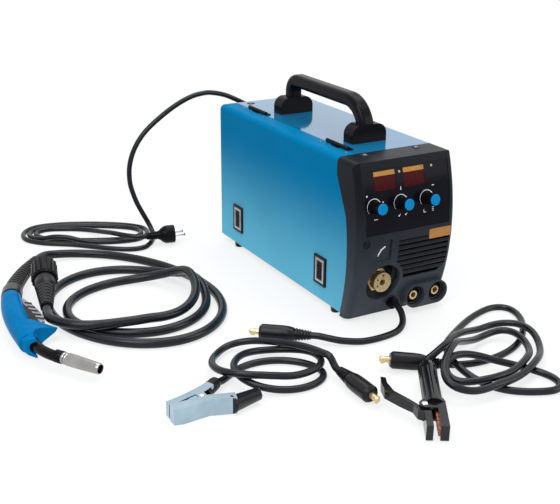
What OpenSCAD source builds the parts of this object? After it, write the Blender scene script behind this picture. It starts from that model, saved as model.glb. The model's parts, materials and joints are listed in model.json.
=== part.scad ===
// Portable inverter welder for wire and stick electrodes, with its torch and leads laid out beside it.
// Millimetres, +Z up. The origin is on the floor under the middle of the case; the front faces -Y.

/* [Case] */
// Width of the case across its side panels
case_w = 180; // [172:1:200]
// Height of the top cover above the floor
case_top = 260; // [252:1:280]
// Height of the side panels' lower edge above the floor
case_low = 12; // [11.5:0.5:16]
// Distance from the middle of the case to the rear of its side panels
case_rear = 223; // [218:1:240]
// Thickness of the sheet metal
sheet = 1.2; // [0.8:0.1:2]
// Outer radius of the bent top edges
bend_r = 9; // [5:0.5:14]
// Height of the rubber feet
foot_h = 10; // [8:0.5:11]
// Diameter of the rubber feet
foot_d = 18; // [12:1:24]

/* [Front bezel] */
// Distance from the middle of the case to the foremost point of the front
front_reach = 240; // [236:1:250]
// Radius of the bowed front
front_r = 344; // [320:1:400]
// Height of the foremost point of the front
front_mid = 145; // [135:1:155]
// Distance from the foremost point of the front back to the rear edge of the bezel's top
seam_back = 67; // [60:1:72]
// Distance from the foremost point of the front back to the foremost point of the side panels
edge_back = 33; // [28:1:37]
// Radius of the side panels' bowed front edge
edge_r = 349; // [320:1:400]
// Wall thickness of the bezel
front_wall = 3; // [2.4:0.1:4]
// Rounding of the bezel's upright front edges
front_edge_r = 10; // [5:0.5:14]
// Height of the bezel's lower edge above the floor
front_low = 5; // [3:0.5:8]
// Gap between the bezel and the panels
seam = 1; // [0.6:0.1:2]

/* [Grille] */
// Number of louvre slats
slat_n = 7; // [5:1:9]
// Height of one slat
slat_h = 5; // [3:0.1:6]
// Left edge of the louvres
grille_left = -16; // [-18:0.5:-10]
// Distance of the louvres from the right side of the case
grille_margin = 9; // [8:0.5:20]
// Lower edge of the louvres
grille_low = 66; // [62:1:75]
// Upper edge of the louvres
grille_high = 134; // [125:1:140]

/* [Controls] */
// Lower edge of the control panel
panel_low = 150; // [146:1:156]
// Distance of the control panel's upper edge below the top of the case
panel_drop = 12; // [10:1:16]
// Distance of the control panel from the sides of the case
panel_margin = 12; // [11:0.5:14]
// Depth of the pocket that the control panel lies in
panel_depth = 2; // [1.4:0.1:2.2]
// Thickness of the control panel
panel_t = 1.2; // [0.8:0.1:1.4]
// Diameter of a knob
knob_d = 21; // [20:0.5:26]
// Length of a knob
knob_h = 21.5; // [14:0.5:26]
// Diameter of a knob's cap
cap_d = 17.3; // [14:0.1:17.4]
// Distance between knobs
knob_pitch = 48.5; // [44:0.5:52]
// Height of the knobs below the middle of the control panel
knob_drop = 5; // [1:1:13]
// Width of a display window
window_w = 39; // [30:0.5:42]
// Height of a display window
window_h = 29; // [20:0.5:31]
// Distance between the display windows' middles
window_pitch = 54; // [50:0.5:58]

/* [Sockets] */
// Sideways place of the torch socket
euro_x = -36; // [-40:0.5:-34]
// Height of the torch socket
euro_z = 65; // [62:0.5:68]
// Diameter of the torch socket's brass body
euro_d = 32; // [28:0.5:36]
// Bore of the torch socket
euro_bore = 10; // [8:0.1:12]
// Diameter of the recess round the torch socket
recess_d = 62; // [56:1:64]
// Distance of the outer cable socket from the right side of the case
cable_margin = 20; // [19.5:0.5:22]
// Distance between the cable sockets
cable_pitch = 43; // [41:0.5:43]
// Height of the cable sockets
cable_z = 30; // [28:0.5:32]
// Diameter of the recess of a cable socket
cable_recess_d = 35; // [30:0.5:35.5]
// Outer diameter of a cable socket's brass contact
contact_d = 14.6; // [13:0.1:16]
// Bore of a cable socket's contact
contact_bore = 9.2; // [8:0.1:10]

/* [Carry handle] */
// Height of the top of the handle above the case
handle_rise = 70; // [60:1:85]
// Width of the handle
handle_w = 26; // [20:0.5:30]
// Thickness of the handle
handle_t = 22; // [16:0.5:24]
// Corner radius of the handle's section
handle_round = 8; // [5:0.5:9]
// Width of a handle boot
boot_w = 64; // [56:1:70]
// Height of a handle boot
boot_h = 29; // [24:0.5:34]
// Thickness of a handle boot
boot_t = 26; // [24:0.5:30]
// Distance of each boot from the middle of the case
boot_reach = 113; // [108:1:118]

/* [Door] */
// Distance of the hinge axis from the middle of the case
hinge_reach = 57; // [52:0.5:60]
// Diameter of a hinge barrel
barrel_d = 6.4; // [5:0.2:8]
// Diameter of a hinge pin
hinge_pin_d = 3; // [2:0.1:3.4]
// Length of a hinge
hinge_l = 62; // [50:1:70]
// Width of a latch
latch_w = 33; // [28:0.5:36]
// Height of a latch
latch_h = 48; // [42:0.5:52]
// Height of the middle of the latches
latch_z = 62; // [56:1:80]

/* [Wire feed] */
// Diameter of the wire reel
reel_d = 200; // [180:1:204]
// Width of the wire reel
reel_w = 55; // [50:0.5:56]
// Diameter of the spool hub
hub_d = 50; // [46:0.5:52]
// Distance of the reel's axis behind the middle of the case
reel_y = 95; // [90:1:100]
// Sideways place of the wall between wire bay and electronics
wall_x = -8; // [-9:0.5:-7]
// Diameter of the drive roller
drive_d = 30; // [26:0.5:32]
// Diameter of the pressure roller
press_d = 22; // [20:0.5:24]
// Distance from the foremost point of the front back to the rollers
feed_back = 148; // [144:1:152]

/* [Fan] */
// Gap between the fan frame and the walls beside it
fan_gap = 1.6; // [1:0.1:6]
// Depth of the fan frame
fan_t = 25; // [20:1:28]
// Least thickness of the fan frame round its blades
fan_rim = 2; // [1.5:0.1:6]
// Number of fan blades
blade_n = 7; // [5:1:9]
// Height of the fan's axis
fan_z = 120; // [110:1:130]

/* [Leads] */
// Diameter of the torch lead
torch_d = 15; // [13:0.1:16]
// Diameter of the earth, electrode and polarity leads
weld_d = 10.5; // [9:0.1:11]
// Diameter of the mains cord
mains_d = 9.4; // [8:0.1:10]
// Diameter of a cable plug's sleeve
plug_d = 25; // [22:0.5:26]
// Length of a cable plug's sleeve
plug_l = 78; // [70:1:84]
// Diameter of a cable plug's pin
pin_d = 9; // [8:0.1:9.4]
// Length of a cable plug's pin
pin_l = 15; // [12:0.5:18]

/* [Fits] */
// Radial clearance of a turning shaft in its bore
running = 0.05; // [0.02:0.01:0.1]
// Gap between pieces that move past each other
clear = 0.5; // [0.4:0.1:0.8]

/* [Hidden] */
$fn = 48;

half_w = case_w / 2;
handle_top = case_top + handle_rise;
panel_high = case_top - panel_drop;
panel_mid = (panel_low + panel_high) / 2;
knob_z = panel_mid - knob_drop;
reel_z = (case_top + foot_h) / 2;
feed_reach = front_reach - feed_back;
front_cy = front_r - front_reach;
seam_reach = front_reach - seam_back;
edge_reach = front_reach - edge_back;
grille_right = half_w - grille_margin;
panel_half = half_w - panel_margin;
cable_x = half_w - cable_margin - cable_pitch;
shoulder_low = 172;
shoulder_high = case_top - 28;
pan_t = 1.5;
pan_top = foot_h + pan_t;
wall_t = 1.5;
rear_t = 1.5;
rear_in = case_rear - rear_t - 0.5;
hinge_z = case_top + barrel_d / 2;
hinge_mid = [51 - seam_reach, case_rear - 83];
latch_mid = [39 - seam_reach, case_rear - 71];
latch_t = 3;
recess_floor = 32 - front_reach;
boss_face = 6 - front_reach;
boss_back = 35 - front_reach;
socket_face = 11 - front_reach;
socket_step = 50 - front_reach;
socket_back = -feed_reach - 60;
grommet_face = 14 - front_reach;
pan_front = -seam_reach - 15;
pan_tongue = -seam_reach - 29;
leg_front = 8 - seam_reach;
knob_mid_x = -14;
grommet_x = -11;
grommet_z = 23;
gland_x = 20;
gland_z = case_top - 35;
switch_x = -40;
switch_z = case_top - 38;
gas_x = -48;
gas_z = 60;
wire_d = 0.8;
feed_y = -feed_reach;
drive_z = euro_z - (drive_d + wire_d) / 2;
press_z = euro_z + (press_d + wire_d) / 2;
fan_x = (half_w - sheet + wall_x + wall_t) / 2;
fan_w = half_w - sheet - wall_x - wall_t - 2 * fan_gap;
fan_d = fan_w - 2 * (fan_rim + 1);
hub_end = euro_x - 34;
board_y = 28 - front_reach;
board_z = panel_mid + 1;
board_h = panel_high - panel_low - 14;
relief_l = 40;
relief_end = rear_in + rear_t + relief_l;
lead_gap = 0.8;

// A box between two corners
module box(lo, hi) {
    translate(lo)
        cube(hi - lo);
}

// Round bars along the three axes
module bar_x(d, x0, x1, y, z) {
    translate([x0, y, z])
        rotate([0, 90, 0])
            cylinder(d = d, h = x1 - x0);
}

module bar_y(d, y0, y1, x, z) {
    translate([x, y0, z])
        rotate([-90, 0, 0])
            cylinder(d = d, h = y1 - y0);
}

module bar_z(d, z0, z1, x, y) {
    translate([x, y, z0])
        cylinder(d = d, h = z1 - z0);
}

// An outline drawn in Y and Z, pulled along X
module pull_x(outline, x0, x1) {
    translate([x0, 0, 0])
        rotate([90, 0, 90])
            linear_extrude(x1 - x0)
                polygon(outline);
}

// Children stand on p with their Z axis towards q
module along(p, q) {
    v = q - p;
    translate(p)
        rotate([0, acos(v[2] / norm(v)), atan2(v[1], v[0])])
            children();
}

// Front edge of the side panels, from a height to the top, moved forward by a gap
function edge_y(z) = edge_r - edge_reach - sqrt(edge_r * edge_r - pow(z - front_mid + 35, 2));
function door_edge(z0, gap) = concat(
    [for (i = [0:8]) let (z = z0 + (shoulder_low - z0) * i / 8) [edge_y(z) - gap, z]],
    [[-seam_reach - gap, shoulder_high], [-seam_reach - gap, case_top + 1]]);

// The case's rounded block, smaller by d all round
module case_block(d, y0, y1, z0) {
    r = bend_r - d;
    x = half_w - d;
    box([-x, y0, z0], [x, y1, case_top - bend_r]);
    box([-x + r, y0, z0], [x - r, y1, case_top - d]);
    for (s = [-1, 1])
        bar_y(2 * r, y0, y1, s * (x - r), case_top - bend_r);
}

// The bent sheet of top and sides before it is parted into door and cover
module case_skin() {
    y0 = -edge_reach - 5;
    intersection() {
        difference() {
            case_block(0, y0, case_rear, case_low);
            case_block(sheet, y0 - 1, case_rear + 1, case_low - 1);
        }
        pull_x(concat(door_edge(case_low, 0), [[case_rear, case_top + 1], [case_rear, case_low]]),
            -case_w, case_w);
    }
}

// Ring sector of the bowed front between two radii
module front_layer(r0, r1, x0, x1) {
    difference() {
        bar_x(2 * r1, x0, x1, front_cy, front_mid);
        bar_x(2 * r0, x0 - 1, x1 + 1, front_cy, front_mid);
    }
}

// The bezel's outer form, smaller by d all round
module front_mass(d) {
    edge = front_edge_r - d;
    x = half_w - d;
    r = front_r - d;
    inner = front_r - 100;
    intersection() {
        translate([0, front_cy, front_mid])
            rotate([0, 90, 0])
                rotate_extrude() {
                    translate([inner, -x])
                        square([r - edge - inner, 2 * x]);
                    translate([inner, edge - x])
                        square([r - inner, 2 * (x - edge)]);
                    for (s = [-1, 1])
                        translate([r - edge, s * (x - edge)])
                            circle(edge);
                }
        case_block(d, -front_reach - 5, -seam_reach + 30, front_low + d);
    }
}

// Children stand on the bowed front at a sideways place and a height, Z outwards
module on_front(x, z) {
    translate([x, front_cy, front_mid])
        rotate([-asin((z - front_mid) / front_r), 0, 0])
            translate([0, -front_r, 0])
                rotate([90, 0, 0])
                    children();
}

module grille_opening() {
    rotate([90, 0, 0])
        translate([0, 0, front_reach - 40])
            linear_extrude(60)
                difference() {
                    polygon([[grille_left, grille_high], [grille_right, grille_high],
                        [grille_right, grille_low + 14], [grille_right - 14, grille_low],
                        [grille_left, grille_low]]);
                    translate([euro_x, euro_z])
                        circle(d = recess_d + 4 * front_wall);
                }
}

// Panels of the bezel's pocket for the control panel, larger by a gap
module panel_region(r0, r1, gap) {
    corner = 14;
    x = panel_half + gap;
    z0 = panel_low - gap;
    z1 = panel_high + gap;
    intersection() {
        front_layer(r0, r1, -x, x);
        union() {
            box([-x, -front_reach - 5, z0], [x, -150, z1 - corner]);
            box([-x + corner, -front_reach - 5, z0], [x, -150, z1]);
            bar_y(2 * corner, -front_reach - 5, -150, -x + corner, z1 - corner);
        }
    }
}

// Louvre slats, set in the opening just under the front surface
module slats() {
    step = (grille_high - grille_low - slat_h) / slat_n;
    intersection() {
        front_layer(front_r - front_wall, front_r - 0.6, grille_left - 1, grille_right + 1);
        for (i = [0:slat_n - 1])
            box([grille_left - 1, -front_reach - 5, grille_low + step * (i + 0.75)],
                [grille_right + 1, -150, grille_low + step * (i + 0.75) + slat_h]);
        grille_opening();
    }
}

module front_bezel() {
    color("#23262a") {
        difference() {
            union() {
                difference() {
                    front_mass(0);
                    front_mass(front_wall);
                    pull_x(concat(door_edge(front_low - 1, seam),
                        [[-100, case_top + 1], [-100, front_low - 1]]), -case_w, case_w);
                }
                intersection() {
                    front_mass(0);
                    bar_y(recess_d + 2 * front_wall, -front_reach, recess_floor + front_wall,
                        euro_x, euro_z);
                }
                for (i = [0, 1])
                    bar_y(cable_recess_d + 4, boss_face, boss_back, cable_x + i * cable_pitch, cable_z);
                box([cable_x, boss_face, cable_z - cable_recess_d / 2 - 2],
                    [cable_x + cable_pitch, boss_back, cable_z + cable_recess_d / 2 + 2]);
            }
            bar_y(recess_d, -front_reach - 5, recess_floor, euro_x, euro_z);
            bar_y(euro_d, recess_floor - 1, recess_floor + front_wall + 1, euro_x, euro_z);
            for (i = [0, 1]) {
                x = cable_x + i * cable_pitch;
                bar_y(cable_recess_d, boss_face - 1, boss_back - 8, x, cable_z);
                bar_y(contact_d, boss_back - 9, boss_back + 1, x, cable_z);
            }
            grille_opening();
            panel_region(front_r - panel_depth, front_r + 5, 0.3);
            for (i = [-1:1])
                on_front(knob_mid_x + i * knob_pitch, knob_z)
                    translate([0, 0, -12])
                        cylinder(d = 7, h = 14);
            on_front(-76, 138)
                translate([0, 0, -2])
                    cylinder(d = 14, h = 5);
            on_front(-47.5, 122)
                translate([0, 0, -1])
                    rotate([0, 4, 0])
                        box([-18.5, -17, -0.6], [18.5, 17, 6]);
            bar_y(16, -front_reach, grommet_face + 26, grommet_x, grommet_z);
        }
        slats();
        for (s = [-1, 1])
            box([s * 60 - 8, pan_tongue - 1, front_low + front_wall],
                [s * 60 + 8, pan_tongue + 6, foot_h]);
        for (x = [24 - half_w, half_w - 24], z = [board_z - board_h / 2 + 6, board_z + board_h / 2 - 6])
            intersection() {
                front_mass(front_wall - 0.5);
                bar_y(8, -front_reach, board_y, x, z);
            }
    }
}

module base_pan() {
    left = -half_w + sheet + clear;
    right = half_w - sheet;
    color("#3c4046")
        difference() {
            union() {
                box([left, pan_front, foot_h], [right, rear_in, pan_top]);
                box([20 - half_w, pan_tongue, foot_h], [half_w - 20, pan_front + 8, pan_top]);
                box([right - pan_t, leg_front, foot_h], [right, rear_in, foot_h + 14]);
                box([left, leg_front, foot_h], [left + pan_t, rear_in, foot_h + 14]);
            }
            for (i = [0:7])
                box([12, -140 + i * 12, foot_h - 1], [62, -134 + i * 12, pan_top + 1]);
        }
}

module divider_wall() {
    color("#b9bec4")
        difference() {
            union() {
                box([wall_x, pan_front + 8, pan_top], [wall_x + wall_t, rear_in, case_top - 12]);
                box([wall_x, leg_front, pan_top], [wall_x + 12, rear_in, pan_top + wall_t]);
            }
            bar_x(24, wall_x - 1, wall_x + wall_t + 1, feed_y, drive_z);
            bar_x(12, wall_x - 1, wall_x + wall_t + 1, reel_y, reel_z);
        }
}

module case_cover() {
    color("#1683bd")
        difference() {
            case_skin();
            box([-case_w, -300, 0], [-hinge_reach + seam / 2, 300, case_top + 5]);
            for (g = [0, 1], i = [0:9])
                let (y = -120 + g * 190 + i * 11)
                    box([half_w - sheet - 1, y, 150], [half_w + 1, y + 5, 195]);
        }
}

module rear_panel() {
    slot_n = 9;
    step = fan_d / slot_n;
    color("#1683bd")
        difference() {
            union() {
                intersection() {
                    case_block(sheet, rear_in, rear_in + rear_t, pan_top);
                    box([-hinge_reach, rear_in - 1, 0], [case_w, case_rear, case_top]);
                }
                intersection() {
                    case_block(sheet + clear, rear_in, rear_in + rear_t, pan_top);
                    box([-case_w, rear_in - 1, 0], [0, case_rear, case_top]);
                }
            }
            intersection() {
                bar_y(fan_d, rear_in - 1, rear_in + rear_t + 1, fan_x, fan_z);
                for (i = [0:slot_n - 1], s = [-1, 1])
                    translate([fan_x + s * fan_d / 4, rear_in, fan_z - fan_d / 2 + (i + 0.5) * step])
                        box([1 - fan_d / 4, -1, -0.3 * step], [fan_d / 4 - 1, 3, 0.3 * step]);
            }
            bar_y(18, rear_in - 1, rear_in + 3, gland_x, gland_z);
            box([switch_x - 14, rear_in - 1, switch_z - 11], [switch_x + 14, rear_in + 3, switch_z + 11]);
            bar_y(14, rear_in - 1, rear_in + 3, gas_x, gas_z);
        }
}

module rubber_feet() {
    color("#17181a")
        for (s = [-1, 1], y = [leg_front, case_rear - 52])
            translate([s * (half_w - foot_d / 2 - 2), y, 0])
                rotate_extrude()
                    polygon([[0, 0], [foot_d / 2 - 2, 0], [foot_d / 2 - 1, 1], [foot_d / 2, foot_h],
                        [0, foot_h]]);
}

// Head of a pan screw standing on a flat face
module screw_head() {
    rotate_extrude()
        polygon([[0, 0], [4, 0], [3.4, 1.4], [2, 2], [0, 2]]);
}

module case_screws() {
    color("#8b9198") {
        for (s = [-1, 1], y = [-seam_reach - 11, case_rear - 17])
            translate([s * (y < 0 ? 48 : 36), y, case_top])
                screw_head();
        for (y = [-150, 0, 150])
            translate([half_w, y, case_low + 12])
                rotate([0, 90, 0])
                    screw_head();
    }
}

// Unit vector, and the direction of a path at one of its points
function unit(v) = v / norm(v);
function heading(p, i) = unit(p[min(i + 1, len(p) - 1)] - p[max(i - 1, 0)]);
function first_side(t) = unit(cross(t, abs(t[2]) < 0.9 ? [0, 0, 1] : [1, 0, 0]));
function turned(n, t) = unit(n - (n * t) * t);
function sides_of(p) = [for (i = 0, n = first_side(heading(p, 0)); i < len(p);
    i = i + 1, n = turned(n, heading(p, i))) n];

// A tube of n sides along a path; r gives a half width and a half height for each point
module sweep(p, r, n) {
    s = sides_of(p);
    pts = [for (i = [0:len(p) - 1], k = [0:n - 1]) let (a = 360 * k / n)
        p[i] + r[i][0] * cos(a) * s[i] + r[i][1] * sin(a) * cross(heading(p, i), s[i])];
    last = n * (len(p) - 1);
    walls = [for (i = [0:len(p) - 2], k = [0:n - 1], h = [0, 1])
        let (a = i * n + k, b = i * n + (k + 1) % n)
        h == 0 ? [a, a + n, b + n] : [a, b + n, b]];
    caps = [for (k = [1:n - 2], e = [0, 1]) e == 0 ? [0, k, k + 1] : [last, last + k + 1, last + k]];
    polyhedron(pts, concat(walls, caps));
}

// Smooth points through a list of hand-chosen ones, about a step apart
function stretch(k, i, n) =
    let (b = k[i], c = k[i + 1])
    let (a = i > 0 ? k[i - 1] : 2 * b - c, e = i + 2 < len(k) ? k[i + 2] : 2 * c - b, l = norm(c - b))
    let (u = unit(c - a) * l, v = unit(e - b) * l)
    [for (q = [0:n - 1]) let (s = q / n)
        (2 * pow(s, 3) - 3 * s * s + 1) * b + (pow(s, 3) - 2 * s * s + s) * u
        + (3 * s * s - 2 * pow(s, 3)) * c + (pow(s, 3) - s * s) * v];
function route(k, step) = concat(
    [for (i = [0:len(k) - 2]) each stretch(k, i, max(1, round(norm(k[i + 1] - k[i]) / step)))],
    [k[len(k) - 1]]);

// Loops laid by hand: each row gives centre and half axes at one half turn, and t counts turns
function loop_row(rows, t) =
    let (i = min(floor(2 * t), len(rows) - 2), s = (1 - cos(180 * (2 * t - i))) / 2)
    rows[i] * (1 - s) + rows[i + 1] * s;
function loop_point(rows, tilt, a0, t, z) =
    let (q = loop_row(rows, t), a = a0 - 360 * t, x = q[2] * cos(a), y = q[3] * sin(a))
    [q[0] + x * cos(tilt) - y * sin(tilt), q[1] + x * sin(tilt) + y * cos(tilt), z];
function loops(rows, tilt, a0, t0, t1, z) =
    let (n = round(24 * abs(t1 - t0)))
    [for (i = [0:n]) loop_point(rows, tilt, a0, t0 + (t1 - t0) * i / n, z)];

// Length along a path up to each point
function lengths(p) = [for (i = 0, s = 0; i < len(p);
    i = i + 1, s = i < len(p) ? s + norm(p[i] - p[i - 1]) : s) s];
function flat(v) = [v[0], v[1]];

// Height that a point has to clear where the path has already been laid under it
function under(p, z, s, i, d) = max([0, for (j = [0:max(0, i - 1)])
    if (s[i] - s[j] > 9 * d)
        let (a = flat(p[j]), b = flat(p[j + 1]) - a, c = flat(p[i]) - a)
        let (u = max(0, min(1, (c * b) / (b * b))))
        if (norm(c - u * b) < 1.15 * d)
            z[j] * (1 - u) + z[j + 1] * u + d / 2 + lead_gap]);
function hump(x) = x >= 1 ? 0 : pow(cos(90 * x), 2);
function settle(p, s, z, d, reach, rounds) = rounds == 0 ? z :
    let (need = [for (i = [0:len(p) - 1]) under(p, z, s, i, d)])
    let (up = [for (i = [0:len(p) - 1]) max(p[i][2], d / 2 + max([0, for (k = [0:len(p) - 1])
        if (need[k] > 0) need[k] * hump(abs(s[i] - s[k]) / reach)]))])
    settle(p, s, up, d, reach, rounds - 1);

// The path with each later turn resting on the turns laid before it, in humps that reach so far to each
// side, and with its last diameter as it was
function eased(x) = let (u = max(0, min(1, x))) u * u * (3 - 2 * u);
function laid(p, d, reach) =
    let (s = lengths(p), z = settle(p, s, [for (q = p) q[2]], d, reach, 3))
    [for (i = [0:len(p) - 1]) let (rest = s[len(p) - 1] - s[i] - d)
        [p[i][0], p[i][1], p[i][2] + (z[i] - p[i][2]) * eased(rest / (1.3 * d))]];
function every_other(p) = concat([p[0]], [for (i = [1:2:len(p) - 3]) p[i]], [p[len(p) - 2], p[len(p) - 1]]);

// Least gap of a laid lead to itself, measured on its points
function self_gap(p, d) =
    let (s = lengths(p))
    min([for (i = [0:len(p) - 1], j = [0:len(p) - 1]) if (s[i] - s[j] > 9 * d) norm(p[i] - p[j])]) - d;
module lead_tube(p, d, sides, name) {
    echo(str(name, " least gap to itself"), self_gap(p, d), "length", lengths(p)[len(p) - 1]);
    rings = every_other(p);
    sweep(rings, [for (q = rings) [d / 2, d / 2]], sides);
}

// A rectangle with round corners, about the origin
module rounded(w, h, r) {
    square([w - 2 * r, h], center = true);
    square([w, h - 2 * r], center = true);
    for (x = [-1, 1], y = [-1, 1])
        translate([x * (w / 2 - r), y * (h / 2 - r)])
            circle(r);
}

// Upright rear leg, tight rear corner, straight grip, wide front corner and leaning front leg
module carry_handle() {
    z = handle_top - handle_t / 2;
    foot_z = case_top + boot_h;
    rise = z - foot_z;
    bend = 1.64 * rise;
    rear_bend = 0.72 * rise;
    rear_y = boot_reach - rear_bend;
    front_y = 2 - boot_reach + sqrt(bend * bend - (bend - rise) * (bend - rise));
    color("#1b1c1f")
        intersection() {
            union() {
                translate([0, boot_reach, foot_z])
                    linear_extrude(rise - rear_bend)
                        rounded(handle_w, handle_t, handle_round);
                for (corner = [[rear_y, rear_bend, 90], [front_y, bend, 180]])
                    translate([0, corner[0], z - corner[1]])
                        rotate([0, 90, 0])
                            rotate(corner[2])
                                rotate_extrude(angle = 90)
                                    translate([corner[1], 0])
                                        rounded(handle_t, handle_w, handle_round);
                translate([0, rear_y, z])
                    rotate([90, 0, 0])
                        linear_extrude(rear_y - front_y)
                            rounded(handle_w, handle_t, handle_round);
            }
            box([-handle_w, -2 * boot_reach, foot_z], [handle_w, 2 * boot_reach, handle_top + 1]);
        }
}

module handle_boots() {
    corner = 17;
    color("#1b1c1f")
        for (y = [-boot_reach, boot_reach])
            translate([0, y + boot_t / 2, case_top])
                rotate([90, 0, 0])
                    linear_extrude(boot_t)
                        intersection() {
                            translate([-boot_w / 2, 0])
                                square([boot_w, boot_h]);
                            union() {
                                translate([-boot_w / 2, 0])
                                    square([boot_w, boot_h - corner]);
                                translate([corner - boot_w / 2, 0])
                                    square([boot_w - 2 * corner, boot_h]);
                                for (s = [-1, 1])
                                    translate([s * (boot_w / 2 - corner), boot_h - corner])
                                        circle(corner);
                            }
                        }
}

module hinge_leaves() {
    color("#17181a")
        for (y = hinge_mid) {
            for (s = [-1, 1])
                translate([0, y + s * hinge_l / 3, 0])
                    bar_y(barrel_d, clear / 2 - hinge_l / 6, hinge_l / 6, -hinge_reach, hinge_z);
            bar_y(hinge_pin_d, y - hinge_l / 2, y + hinge_l / 2, -hinge_reach, hinge_z);
            for (s = [-1, 1])
                box([-hinge_reach + seam, y + s * hinge_l / 3 - hinge_l / 6 + clear, case_top],
                    [-hinge_reach + 9, y + s * hinge_l / 3 + hinge_l / 6, case_top + 2]);
            box([-hinge_reach + barrel_d / 2 + 1, y - hinge_l / 2, case_top],
                [-hinge_reach + 9, y + hinge_l / 2, case_top + 2]);
        }
}

module door_knuckles() {
    color("#17181a")
        for (y = hinge_mid)
            difference() {
                union() {
                    bar_y(barrel_d, y - hinge_l / 6 + clear, y + hinge_l / 6 - clear, -hinge_reach, hinge_z);
                    box([-hinge_reach - 6, y - hinge_l / 6 + clear, case_top],
                        [-hinge_reach - seam, y + hinge_l / 6 - clear, case_top + 1.6]);
                }
                bar_y(hinge_pin_d + 2 * running, y - hinge_l / 2, y + hinge_l / 2, -hinge_reach, hinge_z);
            }
}

module side_door() {
    lip = 8;
    color("#1683bd") {
        intersection() {
            case_skin();
            box([-case_w, -300, 0], [-hinge_reach - seam / 2, 300, case_top + 5]);
        }
        box([-half_w + sheet, 23 - seam_reach, case_low + 18],
            [-half_w + sheet + lip, case_rear - 30, case_low + 18 + sheet]);
    }
}

module latch_frames() {
    color("#9ba1a8")
        for (y = latch_mid)
            difference() {
                box([-half_w - latch_t, y - latch_w / 2, latch_z - latch_h / 2],
                    [-half_w, y + latch_w / 2, latch_z + latch_h / 2]);
                box([-half_w - latch_t - 1, y - latch_w / 4, latch_z - latch_h / 3],
                    [-half_w - 1, y + latch_w / 4, latch_z + latch_h / 3]);
            }
}

module latch_slider(y) {
    slide_h = latch_h * 2 / 3 - 10;
    low = latch_z - latch_h / 3 + clear;
    color("#17181a") {
        box([-half_w - latch_t + 0.6, y - latch_w / 4 + clear, low],
            [-half_w - 1 - clear / 2, y + latch_w / 4 - clear, low + slide_h]);
        for (i = [0:3])
            box([-half_w - latch_t - 0.4, y - latch_w / 4 + 2, low + 3 + i * (slide_h - 6) / 3.5],
                [-half_w - latch_t + 0.6, y + latch_w / 4 - 2, low + 4.6 + i * (slide_h - 6) / 3.5]);
    }
}

module latch_slider_front() {
    latch_slider(latch_mid[0]);
}

module latch_slider_rear() {
    latch_slider(latch_mid[1]);
}

// Places of the two display windows
window_x = [-40.5, -40.5 + window_pitch];
window_z = panel_high - 3 - window_h / 2;

module window_box(x, gap) {
    box([x - window_w / 2 - gap, -front_reach - 5, window_z - window_h / 2 - gap],
        [x + window_w / 2 + gap, -150, window_z + window_h / 2 + gap]);
}

module control_panel() {
    r = front_r - panel_depth;
    color("#101114")
        difference() {
            panel_region(r, r + panel_t, 0);
            for (x = window_x)
                window_box(x, 0);
            for (i = [-1:1])
                on_front(knob_mid_x + i * knob_pitch, knob_z)
                    translate([0, 0, -6])
                        cylinder(d = 7, h = 8);
        }
}

module display_windows() {
    r = front_r - panel_depth;
    color("#5a1410")
        for (x = window_x)
            intersection() {
                front_layer(r, r + panel_t - 0.4, x - window_w, x + window_w);
                window_box(x, -0.1);
            }
}

module knob(i) {
    face = panel_t - panel_depth + clear;
    color("#16171a")
        on_front(knob_mid_x + i * knob_pitch, knob_z)
            difference() {
                union() {
                    translate([0, 0, face])
                        cylinder(d = knob_d, h = 3);
                    translate([0, 0, face + 3])
                        cylinder(d1 = knob_d - 1.5, d2 = cap_d + 1.4, h = knob_h - 3);
                    translate([0, 0, -10])
                        cylinder(d = 6, h = 10 + face);
                }
                translate([0, 0, face + knob_h - 1])
                    cylinder(d = cap_d, h = 2);
                for (k = [0:11])
                    rotate(30 * k)
                        translate([knob_d / 2, 0, face + 4.5])
                            cylinder(d = 2.6, h = knob_h);
            }
}

module knob_1() {
    knob(-1);
}

module knob_2() {
    knob(0);
}

module knob_3() {
    knob(1);
}

module knob_cap(i) {
    top = panel_t - panel_depth + clear + knob_h;
    color("#1f86d6")
        on_front(knob_mid_x + i * knob_pitch, knob_z)
            translate([0, 0, top - 1])
                rotate_extrude()
                    polygon([[0, 0], [cap_d / 2, 0], [cap_d / 2, 1.4], [cap_d / 2 - 0.5, 2], [0, 2]]);
}

module knob_cap_1() {
    knob_cap(-1);
}

module knob_cap_2() {
    knob_cap(0);
}

module knob_cap_3() {
    knob_cap(1);
}

module torch_socket() {
    face = socket_face;
    color("#c9a14a")
        difference() {
            union() {
                bar_y(euro_d, face, socket_step, euro_x, euro_z);
                translate([euro_x, recess_floor, euro_z])
                    rotate([90, 0, 0])
                        cylinder(d = euro_d * 1.25, h = 7, $fn = 6);
                bar_y(18, socket_step, socket_back, euro_x, euro_z);
            }
            bar_y(euro_bore, face - 1, socket_back + 1, euro_x, euro_z);
            for (a = [150, 210])
                bar_y(3.4, face - 1, face + 14, euro_x + 10.5 * cos(a), euro_z + 10.5 * sin(a));
            bar_y(4.4, face - 1, face + 14, euro_x + 1, euro_z + 11);
        }
}

module cable_sockets() {
    color("#c9a14a")
        for (i = [0, 1]) {
            x = cable_x + i * cable_pitch;
            difference() {
                union() {
                    bar_y(contact_d, boss_face + 7, boss_back + 10, x, cable_z);
                    bar_y(contact_d + 8, boss_back, boss_back + 4, x, cable_z);
                }
                bar_y(contact_bore, boss_face + 6, boss_back + 4, x, cable_z);
            }
        }
}

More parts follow.
